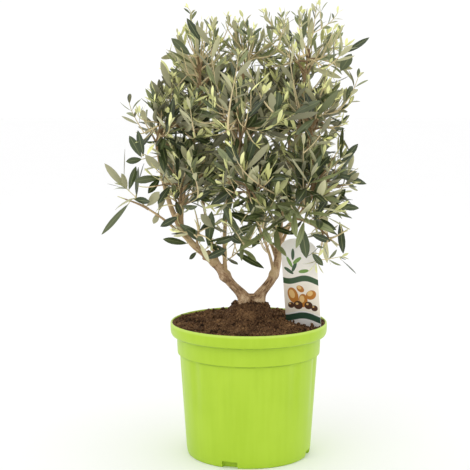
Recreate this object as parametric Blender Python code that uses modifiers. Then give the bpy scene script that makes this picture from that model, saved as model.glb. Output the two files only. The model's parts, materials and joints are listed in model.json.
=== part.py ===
"""Potted olive tree.

A young olive grown as a small bush: a short flared trunk that forks just above
the soil, two crooked boughs, the limbs that spring from them, and masses of
narrow paired leaves, standing in a stepped nursery pot with a label on a stake.

Metres, +Z up, the viewer on the -Y side. The origin is the centre of the pot's
flat underside.
"""

import math
import random
from collections import namedtuple

import bmesh
import bpy
from mathutils import Euler, Matrix, Vector
from mathutils.geometry import interpolate_bezier
from mathutils.kdtree import KDTree

# ---------------------------------------------------------------- dimensions
GAP = 0.0003                    # left between neighbouring solids
WELD = 0.00001                  # merging distance for seams and caps

# pot: a foot, a tapering body, a stepped collar and a wider rim band
POT_HEIGHT = 0.179
POT_WALL = 0.0025
SEGMENTS = 36                   # round the pot and the soil, so that their facets match
FOOT_RADIUS = 0.083
FOOT_EDGE = 0.003
BODY_TOP_RADIUS = 0.0925
COLLAR_RADIUS = 0.0956
COLLAR_BOTTOM = 0.137
RIM_RADIUS = 0.105
RIM_BOTTOM = 0.162
RIM_EDGE = 0.0012
FLOOR_THICKNESS = 0.003
FOOT_RING_RADIUS = 0.066        # inside it the floor is thin
FOOT_RING_HEIGHT = 0.012
NOTCH_COUNT = 4
NOTCH_TURN = math.radians(-17.8)
NOTCH_WIDTH = 0.021
NOTCH_HEIGHT = 0.009
NOTCH_DEPTH = 0.008

# soil: level with the rim at its edge, with a hump round the trunk's foot
SOIL_EDGE = 0.172
SOIL_RISE = 0.013
HUMP_RISE = 0.014
HUMP_RADIUS = 0.023
HUMP_SPREAD = 0.017
SOIL_RINGS = (0.018, 0.032, 0.046, 0.070)
GROUND = SOIL_EDGE + SOIL_RISE + HUMP_RISE
TRUNK_FOOT = Vector((0.003, 0.010, GROUND))

# label: an arched card that leans forward, with its stake in the soil
LABEL_WIDTH = 0.054
LABEL_SHOULDER = 0.109          # height at which the arched top begins
LABEL_ARCH = 0.014
LABEL_THICKNESS = 0.0012
STAKE_WIDTH = 0.012
STAKE_LENGTH = 0.045
LABEL_FOOT = Vector((0.0738, -0.0048, 0.1705))
LABEL_TURN = math.radians(-34)
LABEL_LEAN = math.radians(8)
ARCH_STEPS = 10

# limbs
LIMB_STEPS = 6
LIMB_ROUNDNESS = 1              # six-sided tubes
TRUNK_ROUNDNESS = 3             # ten-sided tubes
SIDE_PULL = 2.6                 # how much a side limb turns to its tip at once
LEAD = 0.004                    # straight start of a limb that carries on from another
SEAT_GAP = 0.0004               # round a parent limb, where a side limb is seated

# leaves
LEAF_LENGTH = 0.074
LEAF_WIDTH = 0.0205
LEAF_THICKNESS = 0.0014
LEAF_SHARE = 0.95               # longest leaf as a share of its mass's radius
LEAF_SHORTEST = 0.86            # of the longest, before trimming
SLIMMING = 0.6                  # width share that a trimmed leaf keeps at least
LEAF_SINK = 0.0004              # how far a leaf's root passes its shoot's axis
LEAF_ANGLES = (math.radians(40), math.radians(68))
PAIR_SWAY = 0.2                 # radians either way, about the shoot
PAIR_SPACING = 0.0135           # along a shoot
LAST_PAIR = 0.35                # of a pair's spacing, from the shoot's tip
SHOOT_BARE = 0.1                # share of a shoot with no leaves, at its root

# shoots
SHOOT_RADIUS = 0.0016
SHOOT_TIP_RADIUS = 0.0009
SHOOT_SPACING = 0.0130          # of the mass's radius for each shoot
SHOOT_REACH = 0.76              # of the mass's radius
SHOOT_STEPS = 2
STEM_REACH = 0.3                # past the middle of the mass, of its radius
STEM_STEPS = 3
FIRST_SHOOT = 0.12              # along the stem
LAST_SHOOT = 0.62
OUTWARD_PULL = 0.2              # bends the shoots' aims away from the limb
STEM_PULL = 0.6                 # keeps a shoot near its stem's way at its root
UPWARD_PULL = 0.3               # lifts the shoots' tips

# room kept between things, and how finely it is tested
TRIMS = (1.0, 0.82, 0.66, 0.5)  # shorter tries for a leaf or shoot that does not fit
CELL_MARGIN = 0.0012
LIMB_MARGIN = 0.0015
LEAF_SPACING = 0.0054
SPINE_SHARES = (0.26, 0.4, 0.55, 0.7, 0.85, 1.0)
SAMPLE_STEP = 0.003
TEST_STEPS = 10
NEAR_ROOT = 2                   # tests left out where a shoot leaves its stem
LABEL_TESTS = 9                 # across the card

Limb = namedtuple("Limb", "name parent along tip heading base_radius tip_radius")
Mass = namedtuple("Mass", "name limb centre radius seed")
Route = namedtuple("Route", "points radii")

# A limb springs from a place along its parent and ends at its tip, where it
# points along its heading. A limb at 1.0 carries on from its parent's end.
LIMBS = (
    Limb("bough_left", "stub_left", 1.0,
         (-0.058, 0.000, 0.2690), (-0.80, -0.10, 0.55), 0.0072, 0.0056),
    Limb("bough_right", "stub_right", 1.0,
         (0.0425, 0.018, 0.3035), (0.10, 0.02, 1.00), 0.0068, 0.0046),
    Limb("limb_left_outer", "bough_left", 1.0,
         (-0.120, -0.012, 0.4120), (-0.15, 0.00, 1.00), 0.0052, 0.0028),
    Limb("limb_left_spray", "limb_left_outer", 0.10,
         (-0.133, -0.034, 0.3340), (-0.85, -0.10, 0.50), 0.0030, 0.0020),
    Limb("limb_left_lead", "limb_left_outer", 0.30,
         (-0.064, -0.002, 0.4800), (0.02, 0.00, 1.00), 0.0042, 0.0024),
    Limb("limb_low_left", "limb_left_outer", 0.40,
         (-0.090, -0.034, 0.3340), (0.10, -0.30, 0.95), 0.0028, 0.0020),
    Limb("limb_skirt_left", "bough_left", 0.72,
         (-0.066, -0.026, 0.2830), (-0.35, -0.60, 0.70), 0.0026, 0.0020),
    Limb("limb_back_left", "limb_left_lead", 0.30,
         (-0.060, 0.056, 0.4400), (0.05, 0.35, 0.95), 0.0032, 0.0022),
    Limb("limb_back_low_left", "bough_left", 0.55,
         (-0.062, 0.048, 0.3330), (-0.20, 0.40, 0.90), 0.0034, 0.0024),
    Limb("limb_centre_lead", "bough_left", 0.34,
         (-0.009, 0.006, 0.4920), (0.08, 0.02, 1.00), 0.0036, 0.0024),
    Limb("limb_front_middle", "limb_centre_lead", 0.50,
         (-0.012, -0.054, 0.4080), (0.00, -0.35, 0.95), 0.0028, 0.0020),
    Limb("limb_low_front", "bough_right", 0.22,
         (0.008, -0.042, 0.3260), (-0.25, -0.40, 0.90), 0.0030, 0.0020),
    Limb("limb_back_low", "bough_right", 0.44,
         (0.010, 0.066, 0.3320), (-0.15, 0.45, 0.90), 0.0034, 0.0022),
    Limb("limb_right_lead", "bough_right", 1.0,
         (0.072, 0.002, 0.4900), (0.06, 0.00, 1.00), 0.0042, 0.0024),
    Limb("limb_shoulder_right", "limb_right_lead", 0.40,
         (0.078, -0.026, 0.4200), (0.20, -0.25, 0.95), 0.0028, 0.0020),
    Limb("limb_low_right", "bough_right", 0.84,
         (0.072, -0.024, 0.3340), (0.45, -0.30, 0.80), 0.0034, 0.0024),
    Limb("limb_droop_right", "limb_low_right", 0.66,
         (0.088, -0.036, 0.3090), (0.80, -0.20, -0.40), 0.0022, 0.0017),
    Limb("limb_back_right", "limb_right_lead", 0.28,
         (0.056, 0.058, 0.4420), (0.00, 0.35, 0.95), 0.0030, 0.0022),
    Limb("limb_back_low_right", "bough_right", 0.62,
         (0.072, 0.050, 0.3320), (0.40, 0.35, 0.85), 0.0032, 0.0022),
)

# A mass fills the part of its ball that is nearer to it than to its neighbours.
MASSES = (
    Mass("foliage_top_left", "limb_left_lead", (-0.066, -0.008, 0.526), 0.070, 11),
    Mass("foliage_top_middle", "limb_centre_lead", (-0.002, 0.006, 0.532), 0.068, 12),
    Mass("foliage_top_right", "limb_right_lead", (0.078, 0.000, 0.528), 0.073, 13),
    Mass("foliage_shoulder_left", "limb_left_outer", (-0.104, -0.018, 0.442), 0.067, 21),
    Mass("foliage_front_middle", "limb_front_middle", (-0.012, -0.066, 0.452), 0.066, 22),
    Mass("foliage_shoulder_right", "limb_shoulder_right", (0.084, -0.026, 0.452), 0.066, 23),
    Mass("foliage_left_spray", "limb_left_spray", (-0.155, -0.034, 0.343), 0.047, 31),
    Mass("foliage_low_left", "limb_low_left", (-0.090, -0.040, 0.366), 0.060, 32),
    Mass("foliage_low_front", "limb_low_front", (-0.002, -0.064, 0.364), 0.062, 33),
    Mass("foliage_low_right", "limb_low_right", (0.090, -0.036, 0.372), 0.064, 34),
    Mass("foliage_droop_right", "limb_droop_right", (0.102, -0.044, 0.296), 0.048, 35),
    Mass("foliage_skirt_left", "limb_skirt_left", (-0.064, -0.038, 0.304), 0.041, 36),
    Mass("foliage_back_left", "limb_back_left", (-0.058, 0.066, 0.476), 0.067, 41),
    Mass("foliage_back_right", "limb_back_right", (0.056, 0.066, 0.478), 0.068, 42),
    Mass("foliage_back_low_left", "limb_back_low_left", (-0.066, 0.062, 0.370), 0.061, 43),
    Mass("foliage_back_low", "limb_back_low", (0.004, 0.078, 0.374), 0.060, 44),
    Mass("foliage_back_low_right", "limb_back_low_right", (0.078, 0.060, 0.372), 0.061, 45),
)

# The trunk is two stems grown together: each is a list of places and radii.
STUB_START = GROUND - 0.004
STUBS = {
    "stub_left": ((-0.0030, 0.0100, STUB_START), (-0.0048, 0.0100, 0.2075), (-0.0143, 0.0100, 0.2216)),
    "stub_right": ((0.0100, 0.0100, STUB_START), (0.0118, 0.0105, 0.2085), (0.0190, 0.0112, 0.2265)),
}
STUB_RADII = {"stub_left": (0.0135, 0.0098, 0.0072), "stub_right": (0.0125, 0.0090, 0.0068)}


# ---------------------------------------------------------------- scene and materials
def clear_scene():
    for item in list(bpy.data.objects):
        remove_object(item)


def new_collection(name):
    collection = bpy.data.collections.new(name)
    bpy.context.scene.collection.children.link(collection)
    return collection


def new_material(name, colour, roughness):
    material = bpy.data.materials.new(name)
    material.use_nodes = True
    shader = material.node_tree.nodes["Principled BSDF"]
    shader.inputs["Base Color"].default_value = (*colour, 1.0)
    shader.inputs["Roughness"].default_value = roughness
    shader.inputs["Metallic"].default_value = 0.0
    material.diffuse_color = (*colour, 1.0)
    return material


def new_object(name, data, collection, material=None):
    item = bpy.data.objects.new(name, data)
    collection.objects.link(item)
    if material:
        data.materials.append(material)
    return item


def remove_object(item):
    bpy.data.objects.remove(item, do_unlink=True)


# ---------------------------------------------------------------- mesh helpers
def evaluated_mesh(item):
    """A plain mesh of what an object's modifiers or curve settings give."""
    bpy.context.view_layer.update()
    graph = bpy.context.evaluated_depsgraph_get()
    return bpy.data.meshes.new_from_object(item.evaluated_get(graph))


def to_mesh_object(item, collection):
    """Replace an object by one that holds its evaluated, welded mesh."""
    mesh = evaluated_mesh(item)
    shape = bmesh.new()
    shape.from_mesh(mesh)
    bmesh.ops.remove_doubles(shape, verts=shape.verts, dist=WELD)
    bmesh.ops.recalc_face_normals(shape, faces=shape.faces)
    shape.to_mesh(mesh)
    shape.free()
    name = item.name
    place = item.matrix_world.copy()
    remove_object(item)
    solid = new_object(name, mesh, collection)
    solid.matrix_world = place
    return solid


def lathe(name, profile, segments, collection, material=None):
    """Turn a profile of (radius, height) pairs about the Z axis."""
    mesh = bpy.data.meshes.new(name)
    shape = bmesh.new()
    corners = [shape.verts.new((radius, 0.0, height)) for radius, height in profile]
    for corner, following in zip(corners, corners[1:]):
        shape.edges.new((corner, following))
    shape.to_mesh(mesh)
    shape.free()
    item = new_object(name, mesh, collection, material)
    screw = item.modifiers.new("Turn", "SCREW")
    screw.steps = segments
    screw.render_steps = segments
    screw.use_merge_vertices = True
    screw.merge_threshold = WELD
    return item


def tube(name, route, roundness, collection, section=None):
    """A tapering solid along a route, round or with the given section."""
    curve = bpy.data.curves.new(name, "CURVE")
    curve.dimensions = "3D"
    curve.use_fill_caps = True
    if section:
        curve.bevel_mode = "OBJECT"
        curve.bevel_object = section
    else:
        curve.bevel_depth = 1.0
        curve.bevel_resolution = roundness
    spline = curve.splines.new("POLY")
    spline.points.add(len(route.points) - 1)
    for point, place, radius in zip(spline.points, route.points, route.radii):
        point.co = (*place, 1.0)
        point.radius = radius
    return to_mesh_object(new_object(name, curve, collection), collection)


def add_boolean(item, operation, operand=None, collection=None):
    boolean = item.modifiers.new(operation.title(), "BOOLEAN")
    boolean.operation = operation
    if collection:
        boolean.operand_type = "COLLECTION"
        boolean.collection = collection
    else:
        boolean.object = operand


def apply_modifiers(item):
    mesh = evaluated_mesh(item)
    item.modifiers.clear()
    item.data = mesh


def as_cutter(item):
    item.hide_render = True
    item.display_type = "WIRE"
    return item


def connected_faces(shape):
    """The groups of faces of a bmesh that hang together."""
    groups = []
    unseen = set(shape.faces)
    while unseen:
        group = []
        waiting = [unseen.pop()]
        while waiting:
            face = waiting.pop()
            group.append(face)
            near = {other for edge in face.edges for other in edge.link_faces}
            fresh = near & unseen
            unseen -= fresh
            waiting.extend(fresh)
        groups.append(group)
    return groups


def keep_main_body(mesh):
    """Drop the shells of sealed hollows and loose scraps from a fused mesh."""
    shape = bmesh.new()
    shape.from_mesh(mesh)
    bmesh.ops.triangulate(shape, faces=shape.faces)
    groups = connected_faces(shape)
    main = max(groups, key=len)
    spare = [face for group in groups if group is not main for face in group]
    bmesh.ops.delete(shape, geom=spare, context="FACES")
    shape.to_mesh(mesh)
    shape.free()


# ---------------------------------------------------------------- pot, soil, label
def wall_profile(offset):
    """The pot's stepped wall from the foot to the rim, moved inwards by offset."""
    return (
        (FOOT_RADIUS - offset, FOOT_EDGE),
        (BODY_TOP_RADIUS - offset, COLLAR_BOTTOM),
        (COLLAR_RADIUS - offset, COLLAR_BOTTOM),
        (COLLAR_RADIUS - offset, RIM_BOTTOM),
        (RIM_RADIUS - offset, RIM_BOTTOM),
        (RIM_RADIUS - offset, POT_HEIGHT),
    )


def inner_profile(offset, floor):
    """The inside of the pot from the middle of the floor up to the rim band."""
    wall = wall_profile(POT_WALL + offset)
    lift = POT_WALL + floor - FLOOR_THICKNESS
    return (
        (0.0, floor),
        (FOOT_RING_RADIUS - offset, floor),
        (FOOT_RING_RADIUS - offset, FOOT_RING_HEIGHT + floor - FLOOR_THICKNESS),
        (wall[0][0] + FOOT_EDGE, FOOT_RING_HEIGHT + floor - FLOOR_THICKNESS),
        (wall[1][0], COLLAR_BOTTOM + lift),
        (wall[2][0], COLLAR_BOTTOM + lift),
        (wall[3][0], RIM_BOTTOM + lift),
        (wall[4][0], RIM_BOTTOM + lift),
    )


def make_pot(parts, cutters, material):
    outer = list(reversed(wall_profile(0.0)))
    outer[0:1] = [(RIM_RADIUS - RIM_EDGE, POT_HEIGHT), (RIM_RADIUS, POT_HEIGHT - RIM_EDGE)]
    brim = [(RIM_RADIUS - POT_WALL, POT_HEIGHT)]
    base = [(FOOT_RADIUS - FOOT_EDGE, 0.0), (0.0, 0.0)]
    profile = [*inner_profile(0.0, FLOOR_THICKNESS), *brim, *outer, *base]
    pot = to_mesh_object(lathe("pot", profile, SEGMENTS, cutters), parts)
    pot.data.materials.append(material)
    notches = new_collection("notches")
    for number in range(NOTCH_COUNT):
        turn = NOTCH_TURN + number * math.tau / NOTCH_COUNT
        bpy.ops.mesh.primitive_cube_add(size=1.0)
        notch = bpy.context.object
        notch.name = "notch_%d" % (number + 1)
        notch.dimensions = (NOTCH_WIDTH, 2 * NOTCH_DEPTH, 2 * NOTCH_HEIGHT)
        notch.rotation_euler.z = turn
        notch.location = Matrix.Rotation(turn, 3, "Z") @ Vector((0.0, -FOOT_RADIUS, 0.0))
        for collection in list(notch.users_collection):
            collection.objects.unlink(notch)
        notches.objects.link(as_cutter(notch))
    add_boolean(pot, "DIFFERENCE", collection=notches)
    return pot


def ease(value):
    value = min(max(value, 0.0), 1.0)
    return value * value * (3.0 - 2.0 * value)


def soil_height(x, y):
    away = math.hypot(x - TRUNK_FOOT.x, y - TRUNK_FOOT.y)
    slope = SOIL_RISE * (1.0 - ease(away / (RIM_RADIUS - POT_WALL)))
    hump = HUMP_RISE * (1.0 - ease((away - HUMP_RADIUS) / HUMP_SPREAD))
    return SOIL_EDGE + slope + hump


def make_soil(parts, cutters, material):
    side = inner_profile(GAP, FLOOR_THICKNESS + GAP)
    edge = (side[-1][0], SOIL_EDGE)
    top = [(0.0, SOIL_EDGE), *((ring, SOIL_EDGE) for ring in SOIL_RINGS), edge]
    profile = [*top, *reversed(side)]
    soil = to_mesh_object(lathe("soil", profile, SEGMENTS, cutters), parts)
    soil.data.materials.append(material)
    for corner in soil.data.vertices:
        if corner.co.z > SOIL_EDGE - GAP:
            corner.co.z = soil_height(corner.co.x, corner.co.y)
    return soil


def label_outline(grow):
    """The card's outline in its own plane: arched top, square foot, stake."""
    half = LABEL_WIDTH / 2 + grow
    stake = STAKE_WIDTH / 2 + grow
    arch = [math.pi * step / ARCH_STEPS for step in range(ARCH_STEPS + 1)]
    rise = LABEL_ARCH + grow
    top = [(half * math.cos(turn), LABEL_SHOULDER + rise * math.sin(turn)) for turn in arch]
    foot = [(-half, -grow), (-stake, -grow), (0.0, -STAKE_LENGTH - grow), (stake, -grow), (half, -grow)]
    return top + foot


def label_place():
    lean = Euler((math.pi / 2 + LABEL_LEAN, 0.0, LABEL_TURN)).to_matrix().to_4x4()
    return Matrix.Translation(LABEL_FOOT) @ lean


def label_card(name, grow, collection):
    curve = bpy.data.curves.new(name, "CURVE")
    curve.dimensions = "2D"
    curve.fill_mode = "BOTH"
    curve.extrude = LABEL_THICKNESS / 2 + grow
    outline = label_outline(grow)
    spline = curve.splines.new("POLY")
    spline.use_cyclic_u = True
    spline.points.add(len(outline) - 1)
    for point, (across, up) in zip(spline.points, outline):
        point.co = (across, up, 0.0, 1.0)
    card = new_object(name, curve, collection)
    card.matrix_world = label_place()
    return to_mesh_object(card, collection)


def make_label(parts, cutters, soil, material):
    label = label_card("label", 0.0, parts)
    label.data.materials.append(material)
    slot = as_cutter(label_card("label_slot", GAP, cutters))
    add_boolean(soil, "DIFFERENCE", slot)
    return label


# ---------------------------------------------------------------- trunk and limbs
def place_along(route, along):
    """The point, direction and radius at a fraction of a route's length."""
    steps = [(b - a).length for a, b in zip(route.points, route.points[1:])]
    left = along * sum(steps)
    for number, step in enumerate(steps):
        if left <= step or number == len(steps) - 1:
            share = min(left / step, 1.0)
            start, end = route.points[number], route.points[number + 1]
            radius = route.radii[number] * (1 - share) + route.radii[number + 1] * share
            return start.lerp(end, share), (end - start).normalized(), radius
        left -= step
    raise ValueError("empty route")


def grown_route(start, leaving, tip, heading, radii, steps, lead=0.0):
    """A tapering route that leaves one way and ends another, straight for its lead."""
    begin = start + leaving * lead
    reach = (tip - begin).length / 3
    points = interpolate_bezier(begin, begin + leaving * reach, tip - heading * reach, tip, steps + 1)
    points = [Vector(point) for point in points]
    if lead:
        points.insert(0, start)
    last = len(points) - 1
    base, end = radii
    return Route(points, [base + (end - base) * number / last for number in range(last + 1)])


def places_along(route, steps):
    return [place_along(route, step / steps)[0] for step in range(steps + 1)]


def limb_route(limb, routes):
    start, parent_way, _ = place_along(routes[limb.parent], limb.along)
    tip = Vector(limb.tip)
    heading = Vector(limb.heading).normalized()
    radii = (limb.base_radius, limb.tip_radius)
    if limb.along == 1.0:
        return grown_route(start + parent_way * GAP, parent_way, tip, heading, radii, LIMB_STEPS, LEAD)
    leaving = (parent_way + (tip - start).normalized() * SIDE_PULL).normalized()
    return grown_route(start, leaving, tip, heading, radii, LIMB_STEPS)


def make_trunk(parts, routes, material):
    """Two stems grown together, cut flat where they meet the soil."""
    trunk, other = [tube(name, routes[name], TRUNK_ROUNDNESS, parts) for name in STUBS]
    add_boolean(trunk, "UNION", other)
    apply_modifiers(trunk)
    remove_object(other)
    trunk.name = "trunk"
    shape = bmesh.new()
    shape.from_mesh(trunk.data)
    everything = [*shape.verts, *shape.edges, *shape.faces]
    cut = bmesh.ops.bisect_plane(shape, geom=everything, plane_co=(0.0, 0.0, GROUND + GAP),
                                 plane_no=(0.0, 0.0, -1.0), clear_outer=True)
    rim = [piece for piece in cut["geom_cut"] if isinstance(piece, bmesh.types.BMEdge)]
    bmesh.ops.edgeloop_fill(shape, edges=rim)
    bmesh.ops.recalc_face_normals(shape, faces=shape.faces)
    shape.to_mesh(trunk.data)
    shape.free()
    trunk.data.materials.append(material)
    return trunk


def make_limb(limb, parts, cutters, routes, material):
    item = tube(limb.name, routes[limb.name], LIMB_ROUNDNESS, parts)
    item.data.materials.append(material)
    if limb.along < 1.0:
        parent = routes[limb.parent]
        seat_route = Route(parent.points, [radius + SEAT_GAP for radius in parent.radii])
        seat = tube(limb.name + "_seat", seat_route, LIMB_ROUNDNESS, cutters)
        add_boolean(item, "DIFFERENCE", as_cutter(seat))
        apply_modifiers(item)
        keep_main_body(item.data)
    return item


# ---------------------------------------------------------------- foliage
def obstacle_tree(routes):
    """Points along every limb and over the label, with the radius to keep clear of."""
    samples = []
    for route in routes.values():
        length = sum((b - a).length for a, b in zip(route.points, route.points[1:]))
        count = max(2, math.ceil(length / SAMPLE_STEP))
        for step in range(count + 1):
            point, _, radius = place_along(route, step / count)
            samples.append((point, radius))
    place = label_place()
    pitch = LABEL_WIDTH / (LABEL_TESTS - 1)
    for across in range(LABEL_TESTS):
        for up in range(math.ceil((LABEL_SHOULDER + LABEL_ARCH) / pitch) + 1):
            spot = Vector((across * pitch - LABEL_WIDTH / 2, up * pitch, 0.0))
            samples.append((place @ spot, pitch / 2))
    tree = KDTree(len(samples))
    for number, (point, _) in enumerate(samples):
        tree.insert(point, number)
    tree.balance()
    return tree, [radius for _, radius in samples]


def in_space(point, mass):
    """Whether a point lies in a mass's ball, on its own side of every neighbour."""
    own = (point - Vector(mass.centre)).length_squared - mass.radius ** 2
    if own > 0.0:
        return False
    for other in MASSES:
        if other is mass:
            continue
        across = (Vector(other.centre) - Vector(mass.centre)).length
        power = (point - Vector(other.centre)).length_squared - other.radius ** 2
        if (power - own) / (2 * across) < CELL_MARGIN:
            return False
    return True


def clear_of(points, half_width, obstacles):
    tree, radii = obstacles
    widest = max(radii) + half_width + LIMB_MARGIN
    for point in points:
        for _, number, away in tree.find_range(point, widest):
            if away < radii[number] + half_width + LIMB_MARGIN:
                return False
    return True


def leaf_matrix(root, direction, face):
    """A leaf's own frame: length along Z, its flat faces along Y."""
    side = direction.cross(face).normalized()
    up = side.cross(direction).normalized()
    turn = Matrix((side, up, direction)).transposed().to_4x4()
    return Matrix.Translation(root) @ turn


def leaf_width(length):
    return LEAF_WIDTH * (SLIMMING + (1.0 - SLIMMING) * length / LEAF_LENGTH)


def leaf_corners(matrix, length):
    width = leaf_width(length)
    spots = ((0, 0, 0), (0, 0, length), (width / 2, 0, length / 2), (-width / 2, 0, length / 2),
             (0, LEAF_THICKNESS / 2, length / 2), (0, -LEAF_THICKNESS / 2, length / 2))
    return [matrix @ Vector(spot) for spot in spots]


def make_leaf(name, matrix, length, collection):
    """A flat eight-faced blade, pointed at root and tip."""
    shape = bmesh.new()
    bmesh.ops.create_uvsphere(shape, u_segments=4, v_segments=2, radius=0.5)
    size = Matrix.Diagonal((leaf_width(length), LEAF_THICKNESS, length, 1.0))
    lift = Matrix.Translation((0.0, 0.0, length / 2))
    bmesh.ops.transform(shape, matrix=matrix @ lift @ size, verts=shape.verts)
    mesh = bpy.data.meshes.new(name)
    shape.to_mesh(mesh)
    shape.free()
    return new_object(name, mesh, collection)


def spread_directions(count, turn):
    """Directions spread evenly over a sphere along a golden spiral."""
    golden = math.pi * (3.0 - math.sqrt(5.0))
    for number in range(count):
        height = 1.0 - 2.0 * (number + 0.5) / count
        ring = math.sqrt(1.0 - height * height)
        round_turn = turn + number * golden
        yield Vector((ring * math.cos(round_turn), ring * math.sin(round_turn), height))


def grow_shoots(mass, routes, obstacles):
    """The stem from the limb's tip into the mass, and the shoots that fan out from it."""
    tip, leaving, radius = place_along(routes[mass.limb], 1.0)
    start = tip + leaving * GAP
    centre = Vector(mass.centre)
    outward = (centre - start).normalized()
    stem = grown_route(start, leaving, centre + outward * mass.radius * STEM_REACH, outward,
                       (radius, SHOOT_TIP_RADIUS), STEM_STEPS, LEAD)
    rng = random.Random(mass.seed)
    wanted = round(mass.radius / SHOOT_SPACING)
    shoots = []
    for number, direction in enumerate(spread_directions(wanted, rng.uniform(0, math.tau))):
        aim = (direction + outward * OUTWARD_PULL).normalized()
        root, stem_way, _ = place_along(stem, rng.uniform(FIRST_SHOOT, LAST_SHOOT))
        target = centre + aim * mass.radius * SHOOT_REACH
        way = ((target - root).normalized() + stem_way * STEM_PULL).normalized()
        heading = (aim + Vector((0.0, 0.0, UPWARD_PULL))).normalized()
        for trim in TRIMS:
            end = root.lerp(target, trim)
            route = grown_route(root, way, end, heading, (SHOOT_RADIUS, SHOOT_TIP_RADIUS), SHOOT_STEPS)
            tests = places_along(route, TEST_STEPS)[NEAR_ROOT:]
            if all(in_space(point, mass) for point in tests) and clear_of(tests, SHOOT_RADIUS, obstacles):
                shoots.append(route)
                break
    return stem, shoots


def leaf_tries(shoot, rng):
    """Opposite pairs, each pair a quarter turn from the last, and an end leaf."""
    quarter = rng.uniform(0, math.tau)
    length = sum((b - a).length for a, b in zip(shoot.points, shoot.points[1:]))
    pairs = max(1, round(length / PAIR_SPACING))
    for number in range(pairs):
        point, way, _ = place_along(shoot, 1.0 - (number + LAST_PAIR) / pairs * (1.0 - SHOOT_BARE))
        square = way.orthogonal().normalized()
        turn = quarter + number * math.pi / 2
        spread = rng.uniform(*LEAF_ANGLES)
        for side in (0.0, math.pi):
            out = Matrix.Rotation(turn + side + rng.uniform(-PAIR_SWAY, PAIR_SWAY), 3, way) @ square
            yield point, (way * math.cos(spread) + out * math.sin(spread)).normalized(), way
    point, way, _ = place_along(shoot, 1.0)
    yield point - way * LEAF_SINK, way, way.orthogonal()


def place_leaves(mass, stem, shoots, obstacles):
    """The frame and length of each leaf that keeps to the space and clear of the rest."""
    rng = random.Random(mass.seed + 500)
    taken = [point for shoot in [*shoots, stem] for point in places_along(shoot, TEST_STEPS)]
    leaves = []
    for shoot in [*shoots, stem]:
        for point, direction, face in leaf_tries(shoot, rng):
            root = point - direction * LEAF_SINK
            full = min(LEAF_LENGTH, mass.radius * LEAF_SHARE) * rng.uniform(LEAF_SHORTEST, 1.0)
            for trim in TRIMS:
                length = full * trim
                matrix = leaf_matrix(root, direction, face)
                corners = leaf_corners(matrix, length)
                spine = [root + direction * length * share for share in SPINE_SHARES]
                if not all(in_space(corner, mass) for corner in corners):
                    continue
                if not clear_of([root, *spine], LEAF_WIDTH / 2, obstacles):
                    continue
                if any((spot - other).length < LEAF_SPACING for spot in spine for other in taken):
                    continue
                taken.extend(spine)
                leaves.append((matrix, length))
                break
    return leaves


def make_mass(mass, parts, routes, obstacles, section, material):
    pieces = new_collection(mass.name + "_pieces")
    stem, shoots = grow_shoots(mass, routes, obstacles)
    body = tube(mass.name, stem, None, parts, section)
    for number, shoot in enumerate(shoots):
        tube("%s_shoot_%d" % (mass.name, number), shoot, None, pieces, section)
    leaves = place_leaves(mass, stem, shoots, obstacles)
    for number, (matrix, length) in enumerate(leaves):
        make_leaf("%s_leaf_%d" % (mass.name, number), matrix, length, pieces)
    add_boolean(body, "UNION", collection=pieces)
    apply_modifiers(body)
    for piece in list(pieces.objects):
        remove_object(piece)
    bpy.data.collections.remove(pieces)
    keep_main_body(body.data)
    body.data.materials.clear()
    body.data.materials.append(material)


def three_sided_section(collection):
    """A small triangle that the shoots are swept from; their radii scale it."""
    curve = bpy.data.curves.new("shoot_section", "CURVE")
    curve.dimensions = "2D"
    spline = curve.splines.new("POLY")
    spline.use_cyclic_u = True
    spline.points.add(2)
    for number, point in enumerate(spline.points):
        turn = number * math.tau / 3
        point.co = (math.cos(turn), math.sin(turn), 0.0, 1.0)
    return as_cutter(new_object("shoot_section", curve, collection))


def shade_round(item, angle):
    item.data.shade_smooth()
    item.data.set_sharp_from_angle(angle=math.radians(angle))


# ---------------------------------------------------------------- assembly
def main():
    clear_scene()
    parts = new_collection("potted_olive_tree")
    cutters = new_collection("cutters")
    lime = new_material("pot_plastic", (0.445, 0.680, 0.058), 0.35)
    earth = new_material("soil", (0.045, 0.026, 0.016), 0.95)
    bark = new_material("bark", (0.300, 0.190, 0.110), 0.80)
    leaf = new_material("foliage", (0.130, 0.170, 0.085), 0.50)
    card = new_material("label_card", (0.860, 0.830, 0.740), 0.40)

    pot = make_pot(parts, cutters, lime)
    soil = make_soil(parts, cutters, earth)
    make_label(parts, cutters, soil, card)

    routes = {name: Route([Vector(point) for point in STUBS[name]], STUB_RADII[name]) for name in STUBS}
    for limb in LIMBS:
        routes[limb.name] = limb_route(limb, routes)
    trunk = make_trunk(parts, routes, bark)
    limbs = [make_limb(limb, parts, cutters, routes, bark) for limb in LIMBS]

    obstacles = obstacle_tree(routes)
    section = three_sided_section(cutters)
    for mass in MASSES:
        make_mass(mass, parts, routes, obstacles, section, leaf)
    for item in (pot, soil, trunk, *limbs):
        shade_round(item, 40)


main()
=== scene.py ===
"""Potted olive tree, dressed.

A young olive grown as a small bush in a lime-green nursery pot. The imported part
is the frame: its trunk and boughs get bark with relief, each foliage mass grows
out into shoots, twigs and leaves, the soil turns to crumbs, and the pot and the
label are moulded and printed.

Metres, +Z up, the viewer on the -Y side. The origin is the centre of the pot's
flat underside.
"""

import json
import math
import random
from collections import namedtuple

import bmesh
import bpy
import numpy as np
from bpy.props import FloatProperty, FloatVectorProperty, IntProperty, PointerProperty
from mathutils import Euler, Matrix, Vector, noise
from mathutils.geometry import interpolate_bezier
from mathutils.kdtree import KDTree

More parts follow.
